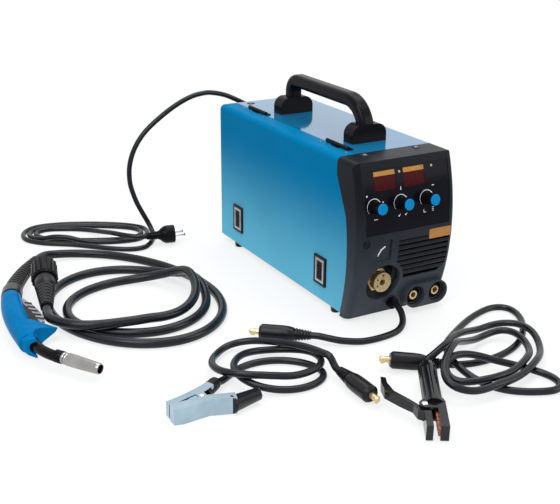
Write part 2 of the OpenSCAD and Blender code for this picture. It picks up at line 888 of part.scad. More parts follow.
// Grommet of the polarity lead in the front, and the mains cord's gland with its bend relief at the rear
module cable_glands() {
    color("#17181a")
        difference() {
            union() {
                bar_y(16, grommet_face + 4, grommet_face + 16, grommet_x, grommet_z);
                bar_y(20, grommet_face, grommet_face + 4, grommet_x, grommet_z);
            }
            bar_y(weld_d - 3, grommet_face - 4, grommet_face + 26, grommet_x, grommet_z);
        }
    y = rear_in + rear_t;
    color("#17181a")
        translate([gland_x, y, gland_z])
            rotate([-90, 0, 0]) {
                cylinder(d = 26, h = 8, $fn = 6);
                translate([0, 0, -rear_t])
                    cylinder(d = 18, h = rear_t + 1);
                rotate_extrude()
                    polygon([[0, 7], [10.5, 7], [10.5, 16], [9, 18], [6.4, relief_l], [0, relief_l]]);
            }
}

module switch_frame() {
    color("#17181a")
        difference() {
            union() {
                translate([switch_x, rear_in, switch_z]) {
                    box([-16, rear_t, -13], [16, rear_t + 2, 13]);
                    box([-14, -18, -11], [14, rear_t + 1, 11]);
                }
            }
            translate([switch_x, rear_in, switch_z])
                box([-12, -14, -8.5], [12, 8, 8.5]);
            bar_z(3 + 2 * running, switch_z - 11, switch_z + 11, switch_x, rear_in - 4);
        }
}

module power_rocker() {
    y = rear_in - 4;
    color("#a31f1c")
        translate([switch_x, y, switch_z])
            rotate([0, 0, 10]) {
                intersection() {
                    box([-10.6, -4, -8], [10.6, 12, 8]);
                    difference() {
                        bar_z(24, -8, 8, 0, 0);
                        bar_z(60, -9, 9, 0, 37);
                    }
                }
                bar_z(3, -10.5, 10.5, 0, 0);
            }
}

module gas_inlet() {
    y = rear_in + rear_t;
    color("#c9a14a")
        translate([gas_x, y, gas_z])
            rotate([-90, 0, 0])
                difference() {
                    union() {
                        translate([0, 0, -24])
                            cylinder(d = 14, h = 24);
                        cylinder(d = 20, h = 6, $fn = 6);
                        rotate_extrude()
                            polygon([[0, 5], [5, 5], [5, 12], [4.2, 12], [4.2, 14], [5, 15], [4.2, 19],
                                [5, 20], [4.2, 24], [4, 26], [0, 26]]);
                    }
                    translate([0, 0, -25])
                        cylinder(d = 4.4, h = 60);
                }
}

module feeder_frame() {
    x0 = wall_x - 8;
    color("#2b2e33")
        difference() {
            union() {
                box([x0, feed_y - 58, drive_z - 24], [wall_x, feed_y + 52, euro_z + 50]);
                for (y = [feed_y - 58, feed_y + 32])
                    box([euro_x - 8, y, euro_z - 9], [x0, y + 20, euro_z + 7]);
                bar_x(8, euro_x - 14, x0, feed_y - 36, press_z + 14);
            }
            bar_y(4, feed_y - 70, feed_y + 70, euro_x, euro_z);
            bar_x(10 + 2 * running, x0 - 1, wall_x + 1, feed_y, drive_z);
        }
}

module feed_motor() {
    x0 = wall_x + wall_t;
    color("#74797f")
        difference() {
            union() {
                box([x0, feed_y - 26, drive_z - 26], [x0 + 24, feed_y + 26, drive_z + 26]);
                bar_x(48, x0 + 24, x0 + 84, feed_y, drive_z);
            }
            bar_x(10 + 2 * clear, x0 - 1, x0 + 14, feed_y, drive_z);
        }
}

module drive_roller() {
    groove = 1;
    color("#aeb4ba")
        translate([euro_x, feed_y, drive_z])
            rotate([0, 90, 0])
                rotate_extrude()
                    polygon([[0, -11], [7, -11], [7, -7], [drive_d / 2, -7], [drive_d / 2, -groove],
                        [drive_d / 2 - groove, 0], [drive_d / 2, groove], [drive_d / 2, 7], [9, 7], [9, 11],
                        [5, 11], [5, wall_x + 12 - euro_x], [0, wall_x + 12 - euro_x]]);
}

module pressure_arm() {
    pivot = [feed_y - 36, press_z + 14];
    tip = feed_y + 30;
    color("#3a3e44")
        difference() {
            union() {
                for (x = [euro_x - 11, euro_x + 7]) {
                    box([x, pivot[0], press_z - 5], [x + 4, tip, press_z + 18]);
                    bar_x(16, x, x + 4, pivot[0], pivot[1]);
                }
                box([euro_x - 11, pivot[0], press_z + press_d / 2 + 1], [euro_x + 11, tip, press_z + 18]);
                bar_x(6, euro_x - 9, euro_x + 9, feed_y, press_z);
            }
            bar_x(8 + 2 * running, euro_x - 20, euro_x + 20, pivot[0], pivot[1]);
            bar_z(6 + 2 * running, press_z, press_z + 30, euro_x, tip - 12);
        }
}

module pressure_roller() {
    color("#aeb4ba")
        difference() {
            bar_x(press_d, euro_x - 6, euro_x + 6, feed_y, press_z);
            bar_x(6 + 2 * running, euro_x - 8, euro_x + 8, feed_y, press_z);
        }
}

module tension_knob() {
    z = press_z + 18 + clear;
    color("#1f5fae")
        translate([euro_x, feed_y + 18, 0])
            difference() {
                union() {
                    translate([0, 0, press_z + press_d / 2 + 2])
                        cylinder(d = 6, h = 10);
                    translate([0, 0, z])
                        cylinder(d1 = 16, d2 = 20, h = 22);
                }
                for (k = [0:9])
                    rotate(36 * k)
                        translate([10.4, 0, z + 4])
                            cylinder(d = 3, h = 30);
            }
}

module spool_hub() {
    color("#2b2e33")
        difference() {
            union() {
                bar_x(hub_d + 16, wall_x - 3, wall_x, reel_y, reel_z);
                bar_x(hub_d, hub_end, wall_x, reel_y, reel_z);
            }
            bar_x(12, hub_end - 1, wall_x + 1, reel_y, reel_z);
        }
}

module spool_nut() {
    color("#1b1c1f")
        difference() {
            union() {
                bar_x(hub_d + 4, hub_end - 6, hub_end, reel_y, reel_z);
                bar_x(12, hub_end - 1, hub_end + 20, reel_y, reel_z);
            }
            for (k = [0:7])
                bar_x(8, hub_end - 7, hub_end - 2, reel_y + 29 * cos(45 * k), reel_z + 29 * sin(45 * k));
        }
}

module wire_reel() {
    x0 = wall_x - 3 - clear - reel_w;
    flange = 3;
    core_d = 105;
    color("#1d1f22")
        difference() {
            union() {
                for (x = [x0, x0 + reel_w - flange])
                    bar_x(reel_d, x, x + flange, reel_y, reel_z);
                bar_x(core_d, x0, x0 + reel_w, reel_y, reel_z);
            }
            bar_x(hub_d + 2 * running, x0 - 1, x0 + reel_w + 1, reel_y, reel_z);
            for (k = [0:5])
                bar_x(20, x0 - 1, x0 + reel_w + 1, reel_y + 39 * cos(60 * k), reel_z + 39 * sin(60 * k));
        }
}

module wire_winding() {
    x0 = wall_x - 3 - clear - reel_w;
    color("#b87a4a")
        difference() {
            bar_x(reel_d - 16, x0 + 3, x0 + reel_w - 3, reel_y, reel_z);
            bar_x(105, x0, x0 + reel_w, reel_y, reel_z);
        }
}

// Heat sink with fins, transformer, power board with capacitors, and the control board behind the knobs
module power_electronics() {
    sink_x = wall_x + wall_t + 4;
    sink_end = half_w - 14;
    fin_n = 10;
    fin_step = (sink_end - sink_x - 2) / (fin_n - 1);
    board = 1.6;
    power_z = 34;
    color("#9aa0a6") {
        box([sink_x, 0, 60], [sink_end, 130, 66]);
        for (i = [0:fin_n - 1])
            box([sink_x + i * fin_step, 0, 66], [sink_x + i * fin_step + 2, 130, 96]);
        for (y = [0, 124])
            box([sink_x, y, pan_top + wall_t], [sink_x + 5, y + 6, 60]);
    }
    color("#8a5a30")
        box([sink_x + 2, 30, 100], [sink_end - 2, 95, 150]);
    color("#3a3c40")
        box([sink_x + 18, 20, 96], [sink_end - 18, 105, 158]);
    color("#1f6b3a") {
        box([18 - half_w, board_y, board_z - board_h / 2],
            [half_w - 18, board_y + board, board_z + board_h / 2]);
        box([wall_x + 14, leg_front, power_z], [half_w - 10, leg_front + 35, power_z + board]);
    }
    color("#2c2c30") {
        for (x = [wall_x + 18, half_w - 20], y = [leg_front + 5, leg_front + 27])
            bar_z(8, pan_top, power_z, x, y);
        for (i = [0:2])
            bar_z(22, power_z + board, 70, wall_x + 30 + i * (half_w - wall_x - 46) / 2, leg_front + 17);
        for (i = [-1:1])
            translate([knob_mid_x + i * knob_pitch, board_y, knob_z - 2])
                box([-8, -10, -8], [8, 0, 8]);
    }
}

module fan_frame() {
    y1 = rear_in;
    y0 = y1 - fan_t;
    color("#17181a") {
        difference() {
            box([fan_x - fan_w / 2, y0, fan_z - fan_w / 2], [fan_x + fan_w / 2, y1, fan_z + fan_w / 2]);
            bar_y(fan_d + 2, y0 - 1, y1 + 1, fan_x, fan_z);
            for (s = [-1, 1], t = [-1, 1])
                bar_y(4.3, y0 - 1, y1 + 1, fan_x + s * (fan_w / 2 - 5), fan_z + t * (fan_w / 2 - 5));
        }
        for (k = [0:3])
            translate([fan_x, 0, fan_z])
                rotate([0, 45 + 90 * k, 0])
                    box([14, y0, -2], [fan_d / 2 + 2, y0 + 3, 2]);
        bar_y(36, y0, y0 + 3, fan_x, fan_z);
        bar_y(4, y0, y1 - 5, fan_x, fan_z);
    }
}

module fan_rotor() {
    y0 = rear_in - fan_t + 3 + clear;
    y1 = rear_in - 2;
    color("#26282c")
        difference() {
            union() {
                bar_y(36, y0, y1, fan_x, fan_z);
                intersection() {
                    bar_y(fan_d, y0, y1, fan_x, fan_z);
                    for (k = [0:blade_n - 1])
                        translate([fan_x, (y0 + y1) / 2, fan_z])
                            rotate([0, 360 / blade_n * k, 0])
                                rotate([38, 0, 0])
                                    box([15, -1, -14], [fan_d, 1, 14]);
                }
            }
            bar_y(4 + 2 * running, y0 - 1, y1 - 2, fan_x, fan_z);
        }
}

// Where each lead ends: a point in the end's face and a point further along the axis of what it enters
grommet_at = [[grommet_x, grommet_face, grommet_z], [grommet_x, grommet_face + 26, grommet_z]];
gland_at = [[gland_x, relief_end, gland_z], [gland_x, rear_in, gland_z]];
mains_joint = [[-224, 254, mains_d / 2], [-230, 246, mains_d / 2]];
mains_plug_at = [[-231, 256, 18], [-181, 246, 18]];
polarity_plug_at = [[-175, grommet_face - 20, 13], [-254, grommet_face + 42, 13]];
earth_plug_at = [[-198, -362, 13], [-198, -462, 13]];
electrode_plug_at = [[-52, -408, 8.6], [-141, -362, 18.6]];
clamp_at = [[-374, -315, 12], [-392, -328, 12]];
connector_at = [[-498, 10, 26], [-456, 160, 44]];
torch_at = [[-450, 227, 19], [-484, 184, 19]];
holder_at = [[-94, -421, 23.2], [-136.5, -489.5, 17.9]];

// A lead's last diameter, straight and square to what it enters, leaving it or reaching it
function leaving(at, d) = [at[0], at[0] - d * unit(at[1] - at[0])];
function reaching(at, d) = [at[0] - d * unit(at[1] - at[0]), at[0]];

// Routes between the ends, in points chosen by hand
mains_run_points = [[18, 286, 227], [8, 300, 233], [-12, 309, 244], [-38, 311, 256], [-70, 309, 264],
    [-105, 306, 262], [-140, 303, 250], [-177, 301, 229], [-210, 301, 203], [-232, 301, 172],
    [-242, 301, 138], [-240, 302, 103], [-230, 303, 72], [-219, 302, 48], [-210, 297, 28], [-207, 286, 14],
    [-211, 273, 6.5]];
polarity_points = [for (q = [[-14, -27, 17], [-24, -44, 9], [-44, -57, 5.3], [-75, -63, 5.3],
    [-108, -61, 5.3], [-138, -49, 8]]) [q[0], grommet_face + q[1], q[2]]];
torch_start = [[-425, 252, 17], [-404, 259, 12]];
torch_rows = [[-364, 35, 228, 138], [-362, 20, 178, 136], [-358, 12, 147, 122], [-358, 8, 122, 114],
    [-358, 4, 94, 106], [-358, 0, 95, 100], [-358, 0, 95, 100]];
torch_end = [[-442, -82, 16], [-473, -67, 19], [-493, -51, 22], [-503, -28, 24]];
earth_start = [[-347, -300, 8]];
earth_rows = [[-284, -342, 73, 69], [-275, -315, 67, 46], [-265, -313, 65, 61], [-273, -294, 73, 50],
    [-293, -281, 57, 80], [-301, -320, 114, 61]];
holder_rows = [[10, -432, 127, 60], [16, -416, 116, 73], [0, -443, 121, 46], [17, -419, 78, 57],
    [-40, -471, 45, 47], [22, -498, 44, 44], [72, -387, 146, 70], [54, -345, 104, 69], [17, -330, 124, 75]];
hank_start = [[-241, 238, 4.7], [-259, 236, 4.7], [-285, 248, 4.7], [-317, 275, 4.7], [-354, 311, 4.7]];
hank_end = [[-322, 390, 5], [-300, 362, 7], [-287, 328, 13], [-275, 296, 18], [-262, 272, 19]];

// Loops of the mains cord's hank, drawn in by a step at each turn
function hank_point(t) =
    let (a = -360 * t, c = cos(a), r = 65 - 12.4 * t)
    let (x = 62 * (1.5 * c - 0.5 * pow(c, 3)) + r * c, y = r * sin(a))
    [-312 + x * cos(28) + y * sin(28), 358 - x * sin(28) + y * cos(28), mains_d / 2];

module mains_cord_run() {
    keys = concat(leaving(gland_at, mains_d), mains_run_points, reaching(mains_joint, mains_d));
    p = route(keys, 2.4 * mains_d);
    color("#1d1e21")
        sweep(p, [for (q = p) [mains_d / 2, mains_d / 2]], 8);
}

module mains_cord_hank() {
    turns = [for (i = [8:63]) hank_point(i / 24)];
    joint = [mains_joint[0], 2 * mains_joint[0] - mains_joint[1]];
    keys = concat(leaving(joint, mains_d), hank_start, turns, hank_end, reaching(mains_plug_at, mains_d));
    color("#1d1e21")
        lead_tube(laid(route(keys, 1.2 * mains_d), mains_d, 52), mains_d, 6, "mains cord hank");
}

module polarity_lead() {
    keys = concat(leaving(grommet_at, weld_d), polarity_points, reaching(polarity_plug_at, weld_d));
    p = route(keys, 2.2 * weld_d);
    color("#1d1e21")
        sweep(p, [for (q = p) [weld_d / 2, weld_d / 2]], 8);
}

module torch_lead() {
    turns = loops(torch_rows, 101, 10, 0.06, 2.58, torch_d / 2);
    out = concat(leaving(torch_at, torch_d), torch_start);
    back = concat(torch_end, reaching(connector_at, torch_d));
    keys = concat(out, turns, back);
    color("#1d1e21")
        lead_tube(laid(route(keys, 1.2 * torch_d), torch_d, 82), torch_d, 8, "torch lead");
}

module earth_lead() {
    turns = loops(earth_rows, -29, 159, 0.02, 2.34, weld_d / 2);
    out = concat(leaving(clamp_at, weld_d), earth_start);
    keys = concat(out, turns, reaching(earth_plug_at, weld_d));
    color("#1d1e21")
        lead_tube(laid(route(keys, 1.2 * weld_d), weld_d, 105), weld_d, 6, "earth lead");
}

module electrode_lead() {
    turns = loops(holder_rows, 30, 103, 3.7, 0, weld_d / 2);
    keys = concat(leaving(electrode_plug_at, weld_d), turns, reaching(holder_at, weld_d));
    color("#1d1e21")
        lead_tube(laid(route(keys, 1.2 * weld_d), weld_d, 105), weld_d, 6, "electrode lead");
}

plug_places = [polarity_plug_at, earth_plug_at, electrode_plug_at];

module cable_plugs() {
    r = plug_d / 2;
    color("#1b1c1f")
        for (q = plug_places)
            along(q[0], q[1])
                difference() {
                    rotate_extrude()
                        polygon(concat([[0, 0], [weld_d / 2 + 1.5, 0]],
                            [for (i = [0:4], k = [0:3]) let (z = 3 + i * 4.4, w = weld_d / 2 + 2 + i * 0.6)
                                [k == 0 || k == 3 ? w - 1.2 : w, z + [0, 0.4, 2.4, 2.8][k]]],
                            [[r - 2, 27], [r - 0.6, 34], [r, 44], [r, plug_l - 4], [r - 3, plug_l],
                                [0, plug_l]]));
                    translate([0, 0, plug_l - 22])
                        cylinder(d = pin_d, h = 30);
                }
}

module plug_pins() {
    color("#c9a14a")
        for (q = plug_places)
            along(q[0], q[1])
                translate([0, 0, plug_l - 22]) {
                    cylinder(d = pin_d, h = 22 + pin_l - 2);
                    translate([0, 0, 20 + pin_l])
                        cylinder(d1 = pin_d, d2 = pin_d - 2.4, h = 2);
                    translate([pin_d / 2 - 1, -1.6, 22 + pin_l - 8])
                        cube([2.4, 3.2, 6]);
                }
}

module mains_plug() {
    color("#1b1c1f")
        along(mains_plug_at[0], mains_plug_at[1]) {
            rotate_extrude()
                polygon([[0, 0], [6.4, 0], [7, 6], [6, 7], [7.6, 12], [6.4, 13], [8.2, 18], [7, 19],
                    [9, 24], [14, 30], [16.8, 36], [16.8, 52], [0, 52]]);
            for (s = [-1, 1])
                translate([0, s * 9.5, 51])
                    cylinder(d = 4.8, h = 20);
        }
}

torch_z = 19;
torch_spine = [[-554, -84, torch_z], [-550, -20, torch_z], [-543, 38, torch_z], [-532, 88, torch_z],
    [-514, 134, torch_z], [-484, 184, torch_z], [-450, 227, torch_z]];
torch_path = route(torch_spine, 14);
grip_n = round(len(torch_path) * 0.51);
grip_end = torch_path[grip_n];
grip_way = heading(torch_path, grip_n);
boot_end = torch_spine[len(torch_spine) - 1];
boot_way = unit(boot_end - torch_spine[len(torch_spine) - 2]);
trigger_pivot = [-529, 67];
trigger_pin_d = 3;
trigger_t = 14;

// Blue grip shell with the hand guard in front of the trigger and the slot that the trigger swings in
module torch_grip() {
    grip = concat([for (i = [0:grip_n - 1]) torch_path[i]], [grip_end - 3 * grip_way, grip_end]);
    swell = [for (i = [0:grip_n + 1]) sin(150 * i / grip_n)];
    grip_r = [for (f = swell) [14.5 + 3.5 * f, 17 + 1.9 * f]];
    color("#1f6fc0") {
        difference() {
            union() {
                sweep(grip, grip_r, 14);
                intersection() {
                    linear_extrude(2 * torch_z)
                        polygon([[-566, -40], [-568, -74], [-560, -97], [-549, -106], [-549, -88],
                            [-541, -74], [-527, -65], [-507, -59], [-502, -53], [-517, -45], [-536, -34]]);
                    sweep([[-535, -20, torch_z], [-535, -120, torch_z]], [[34.5, 16.8], [34.5, 16.8]], 20);
                }
            }
            box([-534, -42, torch_z - trigger_t / 2 - clear], [-490, 77, torch_z + trigger_t / 2 + clear]);
            bar_y(22, -120, -80, -547, torch_z);
        }
        bar_z(trigger_pin_d, torch_z - 12, torch_z + 12, trigger_pivot[0], trigger_pivot[1]);
    }
}

// Collar and ribbed bend relief behind the grip
module torch_boot() {
    path = concat([grip_end, grip_end + 4 * grip_way],
        route([for (i = [grip_n + 1:len(torch_path) - 2]) torch_path[i]], 4.4),
        [boot_end - 5 * boot_way, boot_end]);
    m = len(path) - 1;
    ribs = [for (i = [0:m]) i < 7 ? 16 : 14.5 - 4.5 * i / m - (i % 2 == 0 ? 1.6 : 0)];
    color("#1b1c1f")
        sweep(path, [for (w = ribs) [w, w]], 10);
}

module torch_trigger() {
    color("#a7adb3")
        difference() {
            translate([0, 0, torch_z - trigger_t / 2])
                linear_extrude(trigger_t)
                    polygon([[-533, 64], [-531, 72], [-525, 73], [-519, 62], [-512, 20], [-511, -14],
                        [-515, -34], [-522, -36], [-524, -10], [-527, 30]]);
            bar_z(trigger_pin_d + 2 * running, 0, 40, trigger_pivot[0], trigger_pivot[1]);
        }
}

// Swan neck with its insulator, gas nozzle and contact tip
module torch_neck() {
    neck = route([[-547, -80, torch_z], [-547, -90, torch_z], [-545, -112, torch_z], [-536, -136, torch_z],
        [-526, -150, torch_z]], 9);
    a = [-526, -150, torch_z];
    b = a + 66 * unit([0.51, -0.86, 0]);
    color("#1b1c1f") {
        sweep(neck, [for (q = neck) [8, 8]], 10);
        along(a, b)
            translate([0, 0, -12])
                cylinder(d = 18, h = 14);
    }
    color("#b6bbc0")
        along(a, b)
            difference() {
                union() {
                    translate([0, 0, 2])
                        cylinder(d = 17.2, h = 10);
                    translate([0, 0, 12])
                        cylinder(d1 = 18.4, d2 = 16, h = 56);
                }
                translate([0, 0, 30])
                    cylinder(d = 12.4, h = 40);
            }
    color("#b4703c")
        along(a, b)
            translate([0, 0, 28])
                cylinder(d = 6, h = 36);
}

module torch_connector() {
    p = connector_at[0];
    q = connector_at[1];
    color("#1b1c1f")
        along(p, q) {
            rotate_extrude()
                polygon(concat([[0, 0], [torch_d / 2 + 2, 0]],
                    [for (i = [0:6], k = [0:3]) let (z = 4 + i * 8, w = torch_d / 2 + 2.5 + i * 0.8)
                        [k == 0 || k == 3 ? w - 1.6 : w, z + [0, 0.6, 4.4, 5][k]]],
                    [[16, 62], [17, 70], [17, 86], [0, 86]]));
            difference() {
                translate([0, 0, 86])
                    cylinder(d = 43, h = 52);
                for (k = [0:11])
                    rotate(30 * k)
                        translate([22, 0, 92])
                            cylinder(d = 5, h = 60);
            }
        }
    color("#c9a14a")
        along(p, q)
            translate([0, 0, 138]) {
                cylinder(d = 30, h = 8);
                cylinder(d = 9.6, h = 22);
            }
}

// Bent sheet channel lying on its side: a plan outline pulled up, hollowed by an inner outline
module channel(outline, inner, z0, z1, t) {
    difference() {
        translate([0, 0, z0])
            linear_extrude(z1 - z0)
                polygon(outline);
        translate([0, 0, z0 + t])
            linear_extrude(z1 - z0 - 2 * t)
                polygon(inner);
    }
}

clamp_z = 12;
clamp_pivot = [-402, -346];
clamp_pin_d = 5;
clamp_t = 1.6;

// Jaw of the earth clamp that the lead enters, with the pivot pin
module clamp_jaws() {
    z0 = clamp_z - 10;
    z1 = clamp_z + 10;
    color("#b9c6cf") {
        channel([[-450, -339], [-450, -349], [-440, -349], [-412, -341], [-392, -336], [-376, -327],
                [-380, -316], [-398, -324], [-424, -333]],
            [[-438, -338], [-438, -360], [-412, -360], [-380, -340], [-380, -320], [-398, -326],
                [-424, -335]],
            z0, z1, clamp_t);
        for (z = [z0, z1 - clamp_t])
            translate([clamp_pivot[0], clamp_pivot[1], z])
                box([-6, -5, 0], [6, 12, clamp_t]);
        bar_z(clamp_pin_d, z0, z1, clamp_pivot[0], clamp_pivot[1]);
    }
    color("#1b1c1f")
        along([-392, -328, clamp_z], [-374, -315, clamp_z])
            difference() {
                cylinder(d = 17, h = 22.2);
                translate([-20, -20, -1])
                    cube([40, 40, 4]);
            }
}

// Jaw of the earth clamp that the hand moves, with its insulated sleeve
module clamp_spring_jaw() {
    z0 = clamp_z - 12;
    z1 = clamp_z + 12;
    ear = 10 - clamp_t - clear;
    color("#b9c6cf")
        difference() {
            union() {
                channel([[-450, -351], [-450, -365], [-438, -368], [-400, -365], [-366, -377], [-362, -363],
                        [-396, -352]],
                    [[-444, -340], [-444, -362], [-438, -365], [-400, -362], [-366, -374], [-360, -360],
                        [-396, -340]],
                    z0, z1, clamp_t);
                bar_z(12, clamp_z - ear, clamp_z + ear, clamp_pivot[0], clamp_pivot[1]);
                box([clamp_pivot[0] - 6, clamp_pivot[1] - 19, clamp_z - ear],
                    [clamp_pivot[0] + 6, clamp_pivot[1], clamp_z + ear]);
            }
            bar_z(clamp_pin_d + 2 * running, 0, 40, clamp_pivot[0], clamp_pivot[1]);
        }
    color("#1b1c1f")
        along([-372, -371, clamp_z], [-326, -362, clamp_z])
            rotate_extrude()
                polygon([[0, 0], [12, 0], [12, 3], [11, 4], [8.5, 46], [0, 46]]);
}

holder_tilt = 3.8;
holder_turn = atan2(-137, -85);
holder_pivot = [112, -13];
holder_pin_d = 5;
lever_t = 14;

// The electrode holder's own frame: X forward to the jaws, Z up
module in_holder() {
    translate(holder_at[0])
        rotate([0, holder_tilt, holder_turn])
            children();
}

// Fluted grip, fixed jaw with its copper insert, and the fork and pin that the lever swings on
module electrode_holder() {
    fork = lever_t / 2 + clear;
    in_holder() {
        color("#1b1c1f") {
            rotate([0, 90, 0])
                difference() {
                    rotate_extrude()
                        polygon([[0, 0], [8, 0], [12, 5], [13, 12], [13, 96], [16, 99], [16, 107],
                            [0, 107]]);
                    for (k = [0:7])
                        rotate(45 * k)
                            translate([14.6, 0, 14])
                                cylinder(d = 6, h = 76);
                }
            box([104, 3, -11], [162, 14, 11]);
            for (s = [-1, 1])
                translate([0, 0, s * (fork + 1.5) - 1.5])
                    linear_extrude(3)
                        polygon([[100, 4], [100, -14], [108, -20], [116, -19], [120, -12], [120, 4]]);
            bar_z(holder_pin_d, -fork - 2, fork + 2, holder_pivot[0], holder_pivot[1]);
        }
        color("#b4703c")
            box([107, 0.5, -5], [160, 3, 5]);
    }
}

// Lever of the electrode holder with the moving jaw in front of its pivot
module holder_lever() {
    in_holder()
        color("#1b1c1f")
            difference() {
                union() {
                    translate([0, 0, -lever_t / 2])
                        linear_extrude(lever_t)
                            polygon([[162, -6], [124, -6], [118, -7], [111, -8], [110.5, -19],
                                [97, -31], [78, -50], [58, -58], [46, -59], [44, -66], [58, -66],
                                [76, -62], [94, -44], [108, -27], [122, -22], [126, -15], [162, -15]]);
                    box([128, -15, -11], [162, -6, 11]);
                }
                bar_z(holder_pin_d + 2 * running, -20, 20, holder_pivot[0], holder_pivot[1]);
            }
}

base_pan();
divider_wall();
case_cover();
rear_panel();
front_bezel();
rubber_feet();
case_screws();
carry_handle();
handle_boots();
hinge_leaves();
side_door();
door_knuckles();
latch_frames();
latch_slider_front();
latch_slider_rear();
control_panel();
display_windows();
knob_1();
knob_2();
knob_3();
knob_cap_1();
knob_cap_2();
knob_cap_3();
torch_socket();
cable_sockets();
cable_glands();
switch_frame();
power_rocker();
gas_inlet();
feeder_frame();
feed_motor();
drive_roller();
pressure_arm();
pressure_roller();
tension_knob();
spool_hub();
spool_nut();
wire_reel();
wire_winding();
power_electronics();
fan_frame();
fan_rotor();
mains_cord_run();
mains_cord_hank();
mains_plug();
polarity_lead();
torch_lead();
earth_lead();
electrode_lead();
cable_plugs();
plug_pins();
torch_connector();
torch_grip();
torch_boot();
torch_trigger();
torch_neck();
clamp_jaws();
clamp_spring_jaw();
electrode_holder();
holder_lever();
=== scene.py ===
"""Looks of the portable inverter welder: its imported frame, leads, dressed pieces, finishes,
light and camera."""
import json
import math

import bpy
from mathutils import Matrix, Vector


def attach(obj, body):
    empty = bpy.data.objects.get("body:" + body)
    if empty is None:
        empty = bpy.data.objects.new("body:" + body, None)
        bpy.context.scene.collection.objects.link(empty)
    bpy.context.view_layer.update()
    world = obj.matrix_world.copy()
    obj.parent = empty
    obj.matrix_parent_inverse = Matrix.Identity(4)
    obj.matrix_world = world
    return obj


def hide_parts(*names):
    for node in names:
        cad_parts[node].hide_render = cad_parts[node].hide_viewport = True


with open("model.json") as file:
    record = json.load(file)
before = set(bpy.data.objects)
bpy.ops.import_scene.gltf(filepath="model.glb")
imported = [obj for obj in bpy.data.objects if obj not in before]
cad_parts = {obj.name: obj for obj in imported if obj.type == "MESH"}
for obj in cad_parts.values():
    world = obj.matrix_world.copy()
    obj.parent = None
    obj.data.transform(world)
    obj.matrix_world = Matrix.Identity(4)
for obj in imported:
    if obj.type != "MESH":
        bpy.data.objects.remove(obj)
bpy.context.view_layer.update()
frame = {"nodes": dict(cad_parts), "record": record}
nodes = frame["nodes"]
scene = bpy.context.scene
MM = 0.001


# Camera at the photograph's viewing angle
YAW, PITCH, ROLL = math.radians(29.7), math.radians(21.1), math.radians(0.51)
CAMERA_AT, LENS, SENSOR = (-0.886, -1.397, 0.668), 64.4, 36.0


def add_camera():
    ahead = Vector((math.sin(YAW) * math.cos(PITCH), math.cos(YAW) * math.cos(PITCH),
                    -math.sin(PITCH)))
    level = Vector((math.cos(YAW), -math.sin(YAW), 0.0))
    above = level.cross(ahead)
    right = level * math.cos(ROLL) + above * math.sin(ROLL)
    up = above * math.cos(ROLL) - level * math.sin(ROLL)
    data = bpy.data.cameras.new("camera")
    data.sensor_fit = "HORIZONTAL"
    data.sensor_width = SENSOR
    data.lens = LENS
    camera = bpy.data.objects.new("camera", data)
    scene.collection.objects.link(camera)
    turn = Matrix((right, up, -ahead)).transposed()
    camera.matrix_world = Matrix.Translation(CAMERA_AT) @ turn.to_4x4()
    scene.camera = camera


add_camera()


# Finishes
# Heights, in metres, over which the painted floor light fades from the low colour to the colour
# above
PAINTED_LIGHT_FROM, PAINTED_LIGHT_TO = 0.005, 0.225


def add_node(tree, kind, **values):
    """A new shader node with its socket values."""
    made = tree.nodes.new("ShaderNode" + kind)
    for key, value in values.items():
        made.inputs[key.replace("_", " ")].default_value = value
    return made


def noise(tree, place, scale, detail):
    made = add_node(tree, "TexNoise", Scale=scale, Detail=detail)
    tree.links.new(place, made.inputs["Vector"])
    return made.outputs["Fac"]


def drift(tree, slow, tone, shift):
    """A tone that grows darker and lighter with a slow noise."""
    ramp = tree.nodes.new("ShaderNodeValToRGB")
    dark, light = ramp.color_ramp.elements
    dark.position, light.position = 0.3, 0.7
    dark.color = [c * (1.0 - shift) for c in tone] + [1.0]
    light.color = [min(1.0, c * (1.0 + shift)) for c in tone] + [1.0]
    tree.links.new(slow, ramp.inputs["Fac"])
    return ramp.outputs["Color"]


def painted_floor_light(tree, place, low, high):
    """One tone at the floor, fading to another above: a painted floor light, the floor's bounced
    light and sheen painted into the colour.
    """
    split = tree.nodes.new("ShaderNodeSeparateXYZ")
    tree.links.new(place, split.inputs["Vector"])
    rise = add_node(tree, "MapRange", From_Min=PAINTED_LIGHT_FROM, From_Max=PAINTED_LIGHT_TO)
    rise.interpolation_type = "SMOOTHSTEP"
    tree.links.new(split.outputs["Z"], rise.inputs["Value"])
    mix = tree.nodes.new("ShaderNodeMix")
    mix.data_type = "RGBA"
    tree.links.new(rise.outputs["Result"], mix.inputs["Factor"])
    tree.links.new(low, mix.inputs["A"])
    tree.links.new(high, mix.inputs["B"])
    return mix.outputs["Result"]


